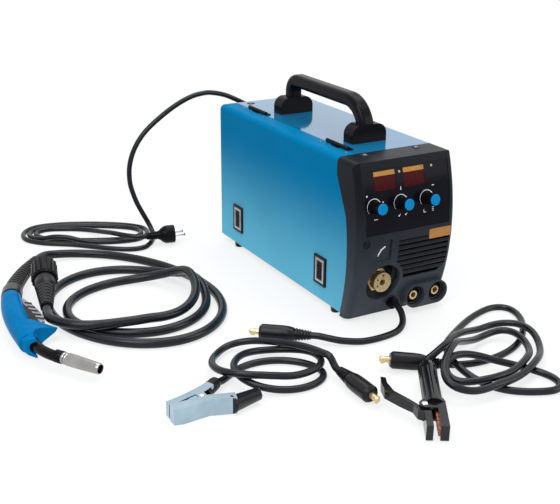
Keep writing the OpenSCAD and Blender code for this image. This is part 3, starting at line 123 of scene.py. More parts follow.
def finish_of(name, color, rough, metal=0.0, shift=0.12, patch=40.0, grain=1500.0, bump=0.04,
              spread=0.06, stretch=(1.0, 1.0, 1.0), low=None, **sockets):
    """A shader whose colour drifts slowly, whose gloss varies and whose surface has a fine grain.

    low is the colour at the floor, a painted floor light: the floor's bounced light and sheen on a
    tall surface, painted into its base colour.
    """
    mat = bpy.data.materials.new(name)
    mat.use_nodes = True
    tree = mat.node_tree
    shader = tree.nodes["Principled BSDF"]
    shader.inputs["Metallic"].default_value = metal
    for key, value in sockets.items():
        shader.inputs[key.replace("_", " ")].default_value = value
    place = tree.nodes.new("ShaderNodeTexCoord").outputs["Object"]
    scaled = add_node(tree, "Mapping", Scale=stretch)
    tree.links.new(place, scaled.inputs["Vector"])
    slow = noise(tree, scaled.outputs["Vector"], patch, 4.0)
    base = drift(tree, slow, color, shift)
    # Painted floor light: the base colour turns towards the low colour near the floor
    if low:
        base = painted_floor_light(tree, place, drift(tree, slow, low, shift), base)
    tree.links.new(base, shader.inputs["Base Color"])
    fine = noise(tree, scaled.outputs["Vector"], grain, 2.0)
    gloss = add_node(tree, "MapRange", To_Min=max(0.02, rough - spread),
                     To_Max=min(1.0, rough + spread))
    tree.links.new(fine, gloss.inputs["Value"])
    tree.links.new(gloss.outputs["Result"], shader.inputs["Roughness"])
    relief = add_node(tree, "Bump", Strength=bump, Distance=0.001)
    tree.links.new(fine, relief.inputs["Height"])
    tree.links.new(relief.outputs["Normal"], shader.inputs["Normal"])
    return mat


# Finishes of the record's material slots
LOOKS = {name: finish_of(name, **look) for name, look in {
    # The door paint's low colour is a painted floor light: the paint turns lighter towards the
    # floor for the floor's bounced light and sheen
    "blue_paint": dict(color=(0.0005, 0.160, 0.345), rough=0.34, patch=9.0, shift=0.04,
                       grain=1100.0, bump=0.03, spread=0.04, low=(0.130, 0.480, 0.660),
                       Specular_IOR_Level=0.005),
    "grey_steel": dict(color=(0.46, 0.48, 0.50), rough=0.38, metal=1.0, patch=60.0, grain=700.0,
                       bump=0.05),
    # The bezel's low colour is a painted floor light: the plastic turns lighter towards the floor
    "bezel_plastic": dict(color=(0.0045, 0.0060, 0.0095), rough=0.32, patch=30.0, grain=2600.0,
                          bump=0.06, low=(0.050, 0.060, 0.075), Specular_IOR_Level=0.08),
    "black_plastic": dict(color=(0.004, 0.004, 0.006), rough=0.24, patch=40.0, grain=2200.0,
                          bump=0.05, Specular_IOR_Level=0.08),
    "panel_gloss": dict(color=(0.004, 0.004, 0.008), rough=0.14, patch=25.0, grain=900.0,
                        bump=0.01, spread=0.04, Specular_IOR_Level=0.06),
    "display_red": dict(color=(0.050, 0.0055, 0.0065), rough=0.16, patch=300.0, shift=0.3,
                        grain=500.0, bump=0.01, spread=0.04, Specular_IOR_Level=0.03),
    "cap_blue": dict(color=(0.0005, 0.205, 0.480), rough=0.34, patch=120.0, grain=2500.0,
                     bump=0.05, Specular_IOR_Level=0.05),
    "torch_blue": dict(color=(0.0005, 0.150, 0.370), rough=0.22, patch=60.0, grain=1800.0,
                       bump=0.03, Specular_IOR_Level=0.008),
    "rubber": dict(color=(0.005, 0.005, 0.007), rough=0.30, patch=70.0, grain=1500.0, bump=0.06,
                   Specular_IOR_Level=0.24),
    "cord_sheath": dict(color=(0.007, 0.008, 0.011), rough=0.25, patch=50.0, shift=0.2,
                        grain=900.0, bump=0.05, Specular_IOR_Level=0.26),
    "brass": dict(color=(0.70, 0.53, 0.28), rough=0.24, metal=0.75, patch=150.0, grain=900.0,
                  bump=0.04),
    "rocker_red": dict(color=(0.42, 0.012, 0.012), rough=0.22, patch=90.0, grain=1500.0,
                       bump=0.03),
    "steel": dict(color=(0.66, 0.66, 0.67), rough=0.26, metal=1.0, patch=120.0, grain=1200.0,
                  bump=0.04),
    "arm_grey": dict(color=(0.045, 0.048, 0.053), rough=0.45, patch=60.0, grain=1800.0,
                     bump=0.10),
    "wire_copper": dict(color=(0.55, 0.27, 0.14), rough=0.33, metal=1.0, patch=80.0, grain=900.0,
                        bump=0.06, stretch=(1.0, 0.15, 0.15)),
    "heat_sink": dict(color=(0.62, 0.64, 0.66), rough=0.36, metal=1.0, patch=60.0, grain=600.0,
                      bump=0.05),
    "trigger_grey": dict(color=(0.25, 0.25, 0.26), rough=0.42, patch=90.0, grain=2000.0,
                         bump=0.06),
    "zinc": dict(color=(0.38, 0.50, 0.58), rough=0.20, metal=1.0, patch=40.0, shift=0.10,
                 grain=260.0, bump=0.015),
}.items()}

# Finishes of the scene's own
GLOSS_BLUE = finish_of("cover_gloss", (0.001, 0.150, 0.320), 0.10, patch=9.0, shift=0.04,
                       grain=700.0, bump=0.006, spread=0.03, Coat_Weight=0.55,
                       Coat_Roughness=0.06)
DARK_SCREW = finish_of("dark_screw", (0.12, 0.125, 0.135), 0.34, metal=1.0, patch=200.0,
                       grain=900.0, bump=0.04)
PRINT_WHITE = finish_of("print_white", (0.78, 0.79, 0.80), 0.45, patch=400.0, shift=0.05,
                        grain=3000.0, bump=0.02)
AMBER = finish_of("amber_strip", (0.42, 0.190, 0.045), 0.30, patch=220.0, shift=0.15,
                  grain=1600.0, bump=0.02, Specular_IOR_Level=0.1)
PLATE = finish_of("plate_orange", (0.42, 0.195, 0.055), 0.40, patch=120.0, shift=0.10,
                  grain=1500.0, bump=0.03, Specular_IOR_Level=0.1)
LAMP = finish_of("lamp_lens", (0.42, 0.40, 0.36), 0.18, patch=500.0, shift=0.1, grain=2000.0,
                 bump=0.01)
COLLAR = finish_of("collar_grey", (0.016, 0.018, 0.022), 0.34, patch=90.0, grain=2000.0,
                   bump=0.05)
TRIM = finish_of("dark_trim", (0.006, 0.0065, 0.008), 0.42, patch=90.0, grain=1800.0, bump=0.06,
                 Specular_IOR_Level=0.15)
GLOSS_BLACK = finish_of("gloss_black", (0.006, 0.006, 0.008), 0.12, patch=40.0, grain=1500.0,
                        bump=0.02, spread=0.04, Specular_IOR_Level=0.40)
POLISHED = finish_of("polished_steel", (0.36, 0.35, 0.34), 0.16, metal=1.0, patch=60.0,
                     grain=500.0, bump=0.02, spread=0.04)
COPPER = finish_of("copper", (0.30, 0.115, 0.07), 0.40, metal=1.0, patch=150.0, shift=0.2,
                   grain=900.0, bump=0.05)
OWN_LOOKS = {"case_cover": GLOSS_BLUE, "case_screws": DARK_SCREW, "electrode_holder": GLOSS_BLACK,
             "holder_lever": GLOSS_BLACK}


def dress_nodes():
    """Each CAD node gets its slot's finish, and a few get one of the scene's own."""
    for row in frame["record"]["subparts"]:
        slots = nodes[row["node"]].data.materials
        slots.clear()
        slots.append(LOOKS[row["material_slot"]])
    for node, look in OWN_LOOKS.items():
        nodes[node].data.materials[0] = look


dress_nodes()


# Meshes, in millimetres until they become objects
SHARP, SHARP_RIBS, SHARP_WIRE = 38.0, 50.0, 60.0


def new_object(name, form):
    points, faces = form
    mesh = bpy.data.meshes.new(name)
    mesh.from_pydata([tuple(p * MM) for p in points], [], faces)
    made = bpy.data.objects.new(name, mesh)
    scene.collection.objects.link(made)
    return made


def smooth(mesh, sharp):
    mesh.shade_smooth()
    mesh.set_sharp_from_angle(angle=math.radians(sharp))


def add_mesh(name, form, look, body, sharp=SHARP):
    """A piece that rides on a body; a look given by name is a slot of the record."""
    piece = new_object(name, form)
    piece.data.validate()
    smooth(piece.data, sharp)
    piece.data.materials.append(LOOKS[look] if isinstance(look, str) else look)
    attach(piece, body)
    return piece


def softened(piece, width):
    """Fine bevels on the edges of a piece."""
    edge = piece.modifiers.new("edge", "BEVEL")
    edge.width = width * MM
    edge.segments = 2


def bored(piece, form, operation="DIFFERENCE"):
    """Cut a form out of a piece, or keep only what lies inside it."""
    tool = new_object("tool", form)
    cut = piece.modifiers.new("cut", "BOOLEAN")
    cut.operation = operation
    cut.solver = "EXACT"
    cut.object = tool
    graph = bpy.context.evaluated_depsgraph_get()
    result = bpy.data.meshes.new_from_object(piece.evaluated_get(graph))
    piece.modifiers.remove(cut)
    piece.data = result
    smooth(result, SHARP)
    bpy.data.objects.remove(tool)


def vecs(rows):
    return [Vector(r) for r in rows]


def joined(*forms):
    points, faces = [], []
    for p, f in forms:
        faces += [tuple(k + len(points) for k in face) for face in f]
        points += p
    return points, faces


def moved(matrix, form):
    return [matrix @ p for p in form[0]], form[1]


def along(p, q):
    """The place of a form whose Z axis runs from p to q."""
    v = q - p
    return (Matrix.Translation(p) @ Matrix.Rotation(math.atan2(v.y, v.x), 4, "Z")
            @ Matrix.Rotation(math.acos(v.z / v.length), 4, "Y"))


def heading(p, i):
    return (p[min(i + 1, len(p) - 1)] - p[max(i - 1, 0)]).normalized()


def sides_along(p):
    """A side vector for each point of a path, turned as little as possible from one to the next."""
    t = heading(p, 0)
    n = t.cross(Vector((0, 0, 1)) if abs(t.z) < 0.9 else Vector((1, 0, 0))).normalized()
    out = []
    for i in range(len(p)):
        t = heading(p, i)
        n = (n - t * n.dot(t)).normalized()
        out.append(n)
    return out


def tube(p, rim, sides):
    """A closed tube along p; rim(i, angle) is its reach sideways and upwards at point i."""
    side = sides_along(p)
    points, faces = [], []
    for i in range(len(p)):
        other = heading(p, i).cross(side[i])
        for k in range(sides):
            u, v = rim(i, 2 * math.pi * k / sides)
            points.append(p[i] + side[i] * u + other * v)
    for i in range(len(p) - 1):
        for k in range(sides):
            a, b = i * sides + k, i * sides + (k + 1) % sides
            faces.append((a, b, b + sides, a + sides))
    last = sides * (len(p) - 1)
    faces.append(tuple(range(sides - 1, -1, -1)))
    faces.append(tuple(range(last, last + sides)))
    return points, faces


def round_rim(r):
    return lambda i, a: (r * math.cos(a), r * math.sin(a))


def turned(profile, sides=40):
    """A closed profile of radius and height turned round the Z axis."""
    points, faces = [], []
    m = len(profile)
    for k in range(sides):
        a = 2 * math.pi * k / sides
        points += [Vector((r * math.cos(a), r * math.sin(a), z)) for r, z in profile]
        n = (k + 1) % sides
        faces += [(k * m + i, n * m + i, n * m + (i + 1) % m, k * m + (i + 1) % m)
                  for i in range(m)]
    return points, faces


def block(lo, hi):
    x0, y0, z0 = lo
    x1, y1, z1 = hi
    points = [Vector((x, y, z)) for z in (z0, z1) for y in (y0, y1) for x in (x0, x1)]
    return points, [(0, 2, 3, 1), (4, 5, 7, 6), (0, 1, 5, 4), (2, 6, 7, 3), (0, 4, 6, 2),
                    (1, 3, 7, 5)]


def between(n):
    """Faces of a closed form between two outlines of n points."""
    walls = [(k, (k + 1) % n, n + (k + 1) % n, n + k) for k in range(n)]
    return [tuple(range(n - 1, -1, -1)), tuple(range(n, 2 * n))] + walls


def pulled(outline, z0, z1):
    """A flat outline pulled up from z0 to z1."""
    points = [Vector((x, y, z)) for z in (z0, z1) for x, y in outline]
    return points, between(len(outline))


# Paths of the leads
LEAD_GAP, NEAR_ALONG, NEAR_ACROSS = 0.8, 9, 1.15
LAY_PASSES, FILL_PASSES, END_EASE = 3, 4, 1.3


def lengths(p):
    out = [0.0]
    for i in range(1, len(p)):
        out.append(out[-1] + (p[i] - p[i - 1]).length)
    return out


def route(k, step):
    """Smooth points through given ones, about a step apart."""
    out = []
    for i in range(len(k) - 1):
        b, c = k[i], k[i + 1]
        a = k[i - 1] if i > 0 else 2 * b - c
        e = k[i + 2] if i + 2 < len(k) else 2 * c - b
        length = (c - b).length
        u, v = (c - a).normalized() * length, (e - b).normalized() * length
        n = max(1, int(math.floor(length / step + 0.5)))
        for q in range(n):
            s = q / n
            out.append((2 * s ** 3 - 3 * s * s + 1) * b + (s ** 3 - 2 * s * s + s) * u
                       + (3 * s * s - 2 * s ** 3) * c + (s ** 3 - s * s) * v)
    return out + [k[-1]]


def loops(rows, tilt, start, t0, t1, z):
    """Turns whose centre and half axes change from one half turn to the next."""
    n = int(math.floor(24 * abs(t1 - t0) + 0.5))
    ct, st = math.cos(math.radians(tilt)), math.sin(math.radians(tilt))
    out = []
    for j in range(n + 1):
        t = t0 + (t1 - t0) * j / n
        i = min(int(math.floor(2 * t)), len(rows) - 2)
        s = (1 - math.cos(math.pi * (2 * t - i))) / 2
        q = [rows[i][m] * (1 - s) + rows[i + 1][m] * s for m in range(4)]
        a = math.radians(start - 360 * t)
        x, y = q[2] * math.cos(a), q[3] * math.sin(a)
        out.append(Vector((q[0] + x * ct - y * st, q[1] + x * st + y * ct, z)))
    return out


def evened(p, passes=3):
    """The path without its small corners, where it was; its ends stay."""
    for k in (0.5, -0.53) * passes:
        inner = [p[i] + k * ((p[i - 1] + p[i + 1]) / 2 - p[i]) for i in range(3, len(p) - 3)]
        p = p[:3] + inner + p[-3:]
    return p


def clearance(p, z, s, i, d):
    """Height that a point has to clear where the path has already been laid under it."""
    top = 0.0
    for j in range(i):
        if s[i] - s[j] > NEAR_ALONG * d:
            a = p[j].xy
            b = p[j + 1].xy - a
            c = p[i].xy - a
            u = max(0.0, min(1.0, c.dot(b) / b.dot(b)))
            if (c - u * b).length < NEAR_ACROSS * d:
                top = max(top, z[j] * (1 - u) + z[j + 1] * u + d / 2 + LEAD_GAP)
    return top


def hump(need, s, i, reach):
    """Height at a point from the long low humps over all the crossings within reach."""
    return max([0.0] + [need[k] * math.cos(math.pi / 2 * abs(s[i] - s[k]) / reach) ** 2
                        for k in range(len(s)) if need[k] > 0 and abs(s[i] - s[k]) < reach])


def laid(p, d, reach):
    """The path with each later turn resting on the turns laid before it.

    The dips between its humps are filled, and its last diameter stays as it was.
    """
    p = evened(p)
    s = lengths(p)
    z = [q.z for q in p]
    for _ in range(LAY_PASSES):
        need = [clearance(p, z, s, i, d) for i in range(len(p))]
        z = [max(q.z, d / 2 + hump(need, s, i, reach)) for i, q in enumerate(p)]
    for _ in range(FILL_PASSES):
        inner = [max(z[i], (z[i - 1] + 2 * z[i] + z[i + 1]) / 4) for i in range(1, len(z) - 1)]
        z = z[:1] + inner + z[-1:]
    out = []
    for q, h, at in zip(p, z, s):
        u = max(0.0, min(1.0, (s[-1] - at - d) / (END_EASE * d)))
        out.append(Vector((q.x, q.y, q.z + (h - q.z) * u * u * (3 - 2 * u))))
    return out


def leaving(at, d):
    return [at[0], at[0] - d * (at[1] - at[0]).normalized()]


def reaching(at, d):
    return [at[0] - d * (at[1] - at[0]).normalized(), at[0]]


# Routes of the leads, as in the part's source: where each end sits and the points between
TORCH_D, WELD_D, MAINS_D = 15.0, 10.5, 9.4
TORCH_REACH, WELD_REACH, MAINS_REACH = 82, 105, 52
LAID_STEP = 1.2
GROMMET = vecs([(-11, -226, 23), (-11, -200, 23)])
GLAND = vecs([(20, 263, 225), (20, 221, 225)])
MAINS_PLUG = vecs([(-231, 256, 18), (-181, 246, 18)])
POLARITY_PLUG = vecs([(-175, -246, 13), (-254, -184, 13)])
EARTH_PLUG = vecs([(-198, -362, 13), (-198, -462, 13)])
ELECTRODE_PLUG = vecs([(-52, -408, 8.6), (-141, -362, 18.6)])
CLAMP = vecs([(-374, -315, 12), (-392, -328, 12)])
CONNECTOR = vecs([(-498, 10, 26), (-456, 160, 44)])
TORCH = vecs([(-450, 227, 19), (-484, 184, 19)])
HOLDER = vecs([(-94, -421, 23.2), (-136.5, -489.5, 17.9)])
MAINS_JOINT = vecs([(-224, 254, 4.7)])
MAINS_RUN = vecs([
    (18, 286, 227), (8, 300, 233), (-12, 309, 244), (-38, 311, 256), (-70, 309, 264),
    (-105, 306, 262), (-140, 303, 250), (-177, 301, 229), (-210, 301, 203), (-232, 301, 172),
    (-242, 301, 138), (-240, 302, 103), (-230, 303, 72), (-219, 302, 48), (-210, 297, 28),
    (-207, 286, 14), (-211, 273, 6.5)])
HANK_AT, HANK_TILT, HANK_HALF, HANK_R, HANK_SHRINK = (-312, 358), math.radians(28), 62, 65, 12.4
HANK_START = vecs([(-241, 238, 4.7), (-259, 236, 4.7), (-285, 248, 4.7), (-317, 275, 4.7),
                   (-354, 311, 4.7)])
HANK_END = vecs([(-322, 390, 5), (-300, 362, 7), (-287, 328, 13), (-275, 296, 18),
                 (-262, 272, 19)])
POLARITY = vecs([(-14, -253, 17), (-24, -270, 9), (-44, -283, 5.3), (-75, -289, 5.3),
                 (-108, -287, 5.3), (-138, -275, 8)])
TORCH_START = vecs([(-425, 252, 17), (-404, 259, 12)])
TORCH_ROWS = [(-364, 35, 228, 138), (-362, 20, 178, 136), (-358, 12, 147, 122),
              (-358, 8, 122, 114), (-358, 4, 94, 106), (-358, 0, 95, 100), (-358, 0, 95, 100)]
TORCH_END = vecs([(-442, -82, 16), (-473, -67, 19), (-493, -51, 22), (-503, -28, 24)])
EARTH_START = vecs([(-347, -300, 8)])
EARTH_ROWS = [(-284, -342, 73, 69), (-275, -315, 67, 46), (-265, -313, 65, 61),
              (-273, -294, 73, 50), (-293, -281, 57, 80), (-301, -320, 114, 61)]
HOLDER_ROWS = [(10, -432, 127, 60), (16, -416, 116, 73), (0, -443, 121, 46), (17, -419, 78, 57),
               (-40, -471, 45, 47), (22, -498, 44, 44), (72, -387, 146, 70), (54, -345, 104, 69),
               (17, -330, 124, 75)]


def hank_point(t):
    """The mains hank after t turns of its shrinking oval."""
    a = -2 * math.pi * t
    c, r = math.cos(a), HANK_R - HANK_SHRINK * t
    x, y = HANK_HALF * (1.5 * c - 0.5 * c ** 3) + r * c, r * math.sin(a)
    ct, st = math.cos(HANK_TILT), math.sin(HANK_TILT)
    return Vector((HANK_AT[0] + x * ct + y * st, HANK_AT[1] - x * st + y * ct, MAINS_D / 2))


def mains_path():
    run = route(leaving(GLAND, MAINS_D) + MAINS_RUN + MAINS_JOINT, 2.4 * MAINS_D)
    turns = [hank_point(i / 24) for i in range(8, 64)]
    keys = MAINS_JOINT + HANK_START + turns + HANK_END + reaching(MAINS_PLUG, MAINS_D)
    return run[:-1] + laid(route(keys, LAID_STEP * MAINS_D), MAINS_D, MAINS_REACH)


def polarity_path():
    keys = leaving(GROMMET, WELD_D) + POLARITY + reaching(POLARITY_PLUG, WELD_D)
    return route(keys, 2.2 * WELD_D)


def torch_path():
    turns = loops(TORCH_ROWS, 101, 10, 0.06, 2.58, TORCH_D / 2)
    keys = (leaving(TORCH, TORCH_D) + TORCH_START + turns + TORCH_END
            + reaching(CONNECTOR, TORCH_D))
    return laid(route(keys, LAID_STEP * TORCH_D), TORCH_D, TORCH_REACH)


def earth_path():
    turns = loops(EARTH_ROWS, -29, 159, 0.02, 2.34, WELD_D / 2)
    keys = leaving(CLAMP, WELD_D) + EARTH_START + turns + reaching(EARTH_PLUG, WELD_D)
    return laid(route(keys, LAID_STEP * WELD_D), WELD_D, WELD_REACH)


def electrode_path():
    turns = loops(HOLDER_ROWS, 30, 103, 3.7, 0.0, WELD_D / 2)
    keys = leaving(ELECTRODE_PLUG, WELD_D) + turns + reaching(HOLDER, WELD_D)
    return laid(route(keys, LAID_STEP * WELD_D), WELD_D, WELD_REACH)


# Torch connector, which lies on its lead: ribbed boot, ribbed nut, brass end
BOOT_RIBS, BOOT_STEP, BOOT_END = 7, 8, 86
NUT_RIBS, NUT_END = 16, 138


def add_connector():
    place = along(*CONNECTOR)
    boot = [(0, -0.2), (TORCH_D / 2 + 2.2, -0.2)]
    for i in range(BOOT_RIBS):
        z, r = 4 + i * BOOT_STEP, TORCH_D / 2 + 2.7 + i * 0.8
        boot += [(r - 1.6, z), (r, z + 0.8), (r, z + 4.2), (r - 1.6, z + 5)]
    boot += [(16.2, 62), (17.2, 70), (17.2, BOOT_END), (0, BOOT_END)]
    body = add_mesh("connector_boot", moved(place, turned(boot, 48)), "rubber", "case", SHARP_RIBS)
    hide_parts("torch_connector")
    forms = [turned([(0, BOOT_END), (19.4, BOOT_END), (20, 87), (20, 137), (19, NUT_END),
                     (0, NUT_END)], 48)]
    rib = pulled([(19.2, -2.5), (20.9, -2.2), (21.5, -1.5), (21.5, 1.5), (20.9, 2.2),
                  (19.2, 2.5)], 90, 135)
    for k in range(NUT_RIBS):
        forms.append(moved(Matrix.Rotation(2 * math.pi * k / NUT_RIBS, 4, "Z"), rib))
    nut = add_mesh("connector_nut", moved(place, joined(*forms)), "black_plastic", "case")
    tip = turned([(0, 137), (14.4, 137), (15, 138), (15, 145.4), (14.4, 146), (4.8, 146),
                  (4.8, 158.6), (4.2, 160), (0, 160)])
    end = add_mesh("connector_end", moved(place, tip), "brass", "case")
    return [body, nut, end]


# Leads
def add_lead(name, p, d, node_names):
    """A round sheathed lead along p that stands for its solids."""
    fine = [Vector((q.x, q.y, max(q.z, d / 2))) for q in route(p, 0.55 * d)]
    piece = add_mesh(name, tube(fine, round_rim(d / 2), 20), "cord_sheath", "case")
    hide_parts(*node_names)


def add_leads(connector):
    add_lead("mains_lead", mains_path(), MAINS_D, ["mains_cord_run", "mains_cord_hank"])
    add_lead("polarity_cable", polarity_path(), WELD_D, ["polarity_lead"])
    add_lead("torch_cable", torch_path(), TORCH_D, ["torch_lead"])
    add_lead("earth_cable", earth_path(), WELD_D, ["earth_lead"])
    add_lead("electrode_cable", electrode_path(), WELD_D, ["electrode_lead"])


add_leads(add_connector())


# Torch: blue grip with its hand guard, collar, ribbed boot, swan neck and nozzle
TORCH_Z = 19.0
TORCH_SPINE = vecs([(-554, -84, 19), (-550, -20, 19), (-543, 38, 19), (-532, 88, 19),
                    (-514, 134, 19), (-484, 184, 19), (-450, 227, 19)])
GRIP_SHARE = 0.51
GUARD = [(-566, -40), (-568, -74), (-560, -97), (-549, -106), (-549, -88), (-541, -74),
         (-527, -65), (-507, -59), (-502, -53), (-517, -45), (-536, -34)]
NECK_HOLE = vecs([(-547, -80, 19), (-547, -120, 19)])
TRIGGER_ROOM = block((-534, -42, 11.5), (-490, 77, 26.5))
TRIGGER_FACE = vecs([(-519, 62, 19), (-512, 20, 19), (-511, -14, 19), (-515, -34, 19)])
TRIGGER_TOP = TORCH_Z + 7.0
CHEEK = [(-532, 72), (-530, 66), (-524.5, 20), (-523.5, -14), (-525, -38), (-540, -42),
         (-540, 0), (-536, 40)]
NECK = vecs([(-547, -80, 19), (-547, -90, 19), (-545, -112, 19), (-536, -136, 19),
             (-526, -150, 19)])
NOZZLE_AIM = Vector((0.51, -0.86, 0))


def cut_at(p, share0, share1):
    """The stretch of a fine path between two shares of its length."""
    s = lengths(p)
    return [q for q, at in zip(p, s)
            if share0 * s[-1] - 1e-6 <= at <= share1 * s[-1] + 1e-6]


def add_torch_guard():
    """The hand guard: an outline pulled up, then kept inside an egg that thins at its tip."""
    guard = add_mesh("torch_guard", pulled(GUARD, 0.5, 37.5), "torch_blue", "case")
    axis = [Vector((-535, y, TORCH_Z)) for y in (-20, -120)]

    def egg(i, a):
        thin = 1 - 0.66 * max(0.0, 0.25 - math.cos(a))
        return 34.5 * math.cos(a), 16.8 * math.sin(a) * thin

    bored(guard, tube(axis, egg, 72), "INTERSECT")
    bored(guard, tube(NECK_HOLE, round_rim(11), 40))
    bored(guard, TRIGGER_ROOM)
    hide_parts("torch_grip")


def add_torch_shell(grip):
    last = len(grip) - 1

    def rim(i, a):
        swell = math.sin(math.radians(150) * i / last)
        end = min(1.0, 0.88 + 0.06 * min(i, last - i))
        return (14.5 + 3.5 * swell) * end * math.cos(a), (17 + 1.9 * swell) * end * math.sin(a)

    shell = add_mesh("torch_shell", tube(grip, rim, 48), "torch_blue", "case")
    bored(shell, TRIGGER_ROOM)
    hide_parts("torch_grip")


def add_trigger_cheeks():
    cheeks = joined(pulled(CHEEK, 26.8, 28.6), pulled(CHEEK, 9.4, 11.2))
    add_mesh("trigger_cheeks", cheeks, TRIM, "case")


def add_torch_rear(rear):
    """A dark ring, a grey collar and the ribbed boot, one behind the other."""
    ring, collar = rear[:3], rear[2:16]
    boot = route([rear[15] + (rear[16] - rear[15]) * 0.2] + rear[16:], 0.7)

    def oval(i, a):
        return 16.6 * math.cos(a), 17.2 * math.sin(a)

    def band(i, a):
        r = 15.8 if i in (0, len(collar) - 1) else 16.4
        return r * math.cos(a), r * math.sin(a)

    def ribbed(i, a):
        groove = 2.4 if i % 12 < 5 and 3 < i < len(boot) - 8 else 0.0
        r = 14.6 - 4.4 * i / len(boot) - groove
        return r * math.cos(a), r * math.sin(a)

    add_mesh("torch_ring", tube(ring, oval, 40), TRIM, "case")
    add_mesh("torch_collar", tube(collar, band, 40), COLLAR, "case")
    relief = add_mesh("torch_relief", tube(boot, ribbed, 32), "rubber", "case", SHARP_RIBS)
    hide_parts("torch_boot")


def add_torch_neck():
    swan = add_mesh("torch_swan_neck", tube(route(NECK, 2.5), round_rim(8), 28), "black_plastic",
                    "case")
    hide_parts("torch_neck")
    place = along(NECK[-1], NECK[-1] + NOZZLE_AIM)
    sleeve = turned([(0, -13), (7.4, -13), (9.4, -11), (9.4, 1), (8.4, 2.4), (0, 2.4)])
    add_mesh("torch_insulator", moved(place, sleeve), "black_plastic", "case")
    rings = [turned([(0, z), (8.4, z), (8.8, z + 0.6), (8.8, z + 3.2), (8.4, z + 3.8),
                     (0, z + 3.8)]) for z in (2.4, 7.0)]
    add_mesh("nozzle_rings", moved(place, joined(*rings)), POLISHED, "case")
    cup = turned([(0, 11), (8.6, 11), (9.4, 12.4), (9.4, 24), (9.0, 40), (8.2, 62), (7.9, 67),
                  (7.4, 68), (6.3, 68), (6.2, 31), (0, 31)], 48)
    add_mesh("gas_nozzle", moved(place, cup), POLISHED, "case")
    stem = turned([(0, 29), (3.2, 29), (3.2, 60), (2.6, 64), (0.9, 64.6), (0.8, 60), (0, 60)], 24)
    add_mesh("contact_tip", moved(place, stem), COPPER, "case")


def add_trigger_slots():
    """Dark finger slots across the outer face and the upper side of the trigger."""
    path = route(TRIGGER_FACE, 3.0)
    face_slot = block((-1.2, -0.8, -5.4), (0.25, 0.8, 5.4))
    slots = []
    for i in range(3, len(path) - 2, 2):
        t = heading(path, i)
        out = Vector((-t.y, t.x, 0))
        turn = Matrix((out, -t, (0, 0, 1))).transposed().to_4x4()
        slots.append(moved(Matrix.Translation(path[i]) @ turn, face_slot))
    for y in range(-20, 56, 16):
        slot = [(-523.0, y - 2), (-514.0, y - 11), (-513.0, y - 3), (-523.0, y + 6)]
        slots.append(pulled(slot, TRIGGER_TOP - 0.4, TRIGGER_TOP + 0.15))
    add_mesh("trigger_slots", joined(*slots), TRIM, "trigger")


def add_torch():
    fine = route(TORCH_SPINE, 2.0)
    add_torch_guard()
    add_torch_shell(cut_at(fine, 0.0, GRIP_SHARE))
    add_trigger_cheeks()
    add_torch_rear(cut_at(fine, GRIP_SHARE, 1.0))
    add_torch_neck()
    add_trigger_slots()


add_torch()


# Earth clamp: black sleeves over the zinc channels' ends, and the rivet of its spring
CLAMP_TAIL = vecs([(-372, -371, 12), (-326, -362, 12)])
CLAMP_RIVET = (-402, -346, 22)
CUFF_RIBS, CUFF_STEP = 6, 4.6


def add_clamp_sleeves():
    cone = [(0, -0.3), (12.0, -0.3), (12.3, 0.3), (12.3, 3.0), (11.4, 4.2), (8.75, 45.4),
            (8.2, 46.3), (0, 46.3)]
    add_mesh("clamp_tail_sleeve", moved(along(*CLAMP_TAIL), turned(cone, 40)), "rubber",
             "clamp_lever", SHARP_RIBS)
    cuff = [(0, 2.8), (9.2, 2.8), (9.5, 3.4)]
    for i in range(CUFF_RIBS):
        z, r = 6 + i * CUFF_STEP, 9.5 - 0.2 * max(0, i - 3)
        cuff += [(r, z), (r - 0.7, z + 0.6), (r - 0.7, z + 1.8), (r, z + 2.4)]
    cuff += [(8.4, 35.0), (7.4, 36.4), (0, 36.4)]
    add_mesh("clamp_entry_sleeve", moved(along(CLAMP[1], CLAMP[0]), turned(cuff, 36)), "rubber",
             "case", SHARP_RIBS)
    rivet = turned([(0, -0.4), (4.4, -0.4), (4.2, 0.5), (3.2, 1.2), (1.6, 1.5), (0, 1.55)], 28)
    add_mesh("clamp_rivet", moved(Matrix.Translation(CLAMP_RIVET), rivet), "steel", "case")


add_clamp_sleeves()


# Electrode holder: toothed copper insert and a cap nut on the lever's pin
HOLDER_TURN, HOLDER_DIP = math.atan2(-137, -85), math.radians(3.8)
HOLDER_PIN = (112, -13, 0)
TEETH, TEETH_FROM, TOOTH_STEP, TOOTH_W = 6, 106.8, 9, 7.6


def add_holder_parts():
    turn = (Matrix.Translation(HOLDER[0]) @ Matrix.Rotation(HOLDER_TURN, 4, "Z")
            @ Matrix.Rotation(HOLDER_DIP, 4, "Y"))
    forms = [block((107, 0.6, -5.1), (160.2, 3.1, 5.1))]
    for i in range(TEETH):
        x = TEETH_FROM + i * TOOTH_STEP
        forms.append(block((x, 0.2, -5.2), (x + TOOTH_W, 3.0, 5.2)))
    add_mesh("holder_insert", moved(turn, joined(*forms)), COPPER, "case")
    cap = turned([(0, 9.9), (4.2, 9.9), (4.2, 11.4), (3.4, 12.4), (0, 12.6)], 24)
    add_mesh("holder_pin_cap", moved(turn @ Matrix.Translation(HOLDER_PIN), cap), "steel", "case")


add_holder_parts()


# Mains plug's pins, and wire in close turns on the reel
PIN_APART = 9.5
REEL_AT = (0, 95, 135)
WOUND_LEFT, WOUND_RIGHT, WOUND_R, CORE_R, WIRE_D, WIRE_RISE = -63.4, -14.6, 92.0, 52.7, 1.22, 0.5


def add_mains_pins():
    pin = turned([(0, 51.8), (2.6, 51.8), (2.6, 68.6), (2.0, 70.6), (0.9, 71.2), (0, 71.2)], 24)
    pins = [moved(Matrix.Translation((0, s * PIN_APART, 0)), pin) for s in (-1, 1)]
    add_mesh("mains_pins", moved(along(*MAINS_PLUG), joined(*pins)), "steel", "case")


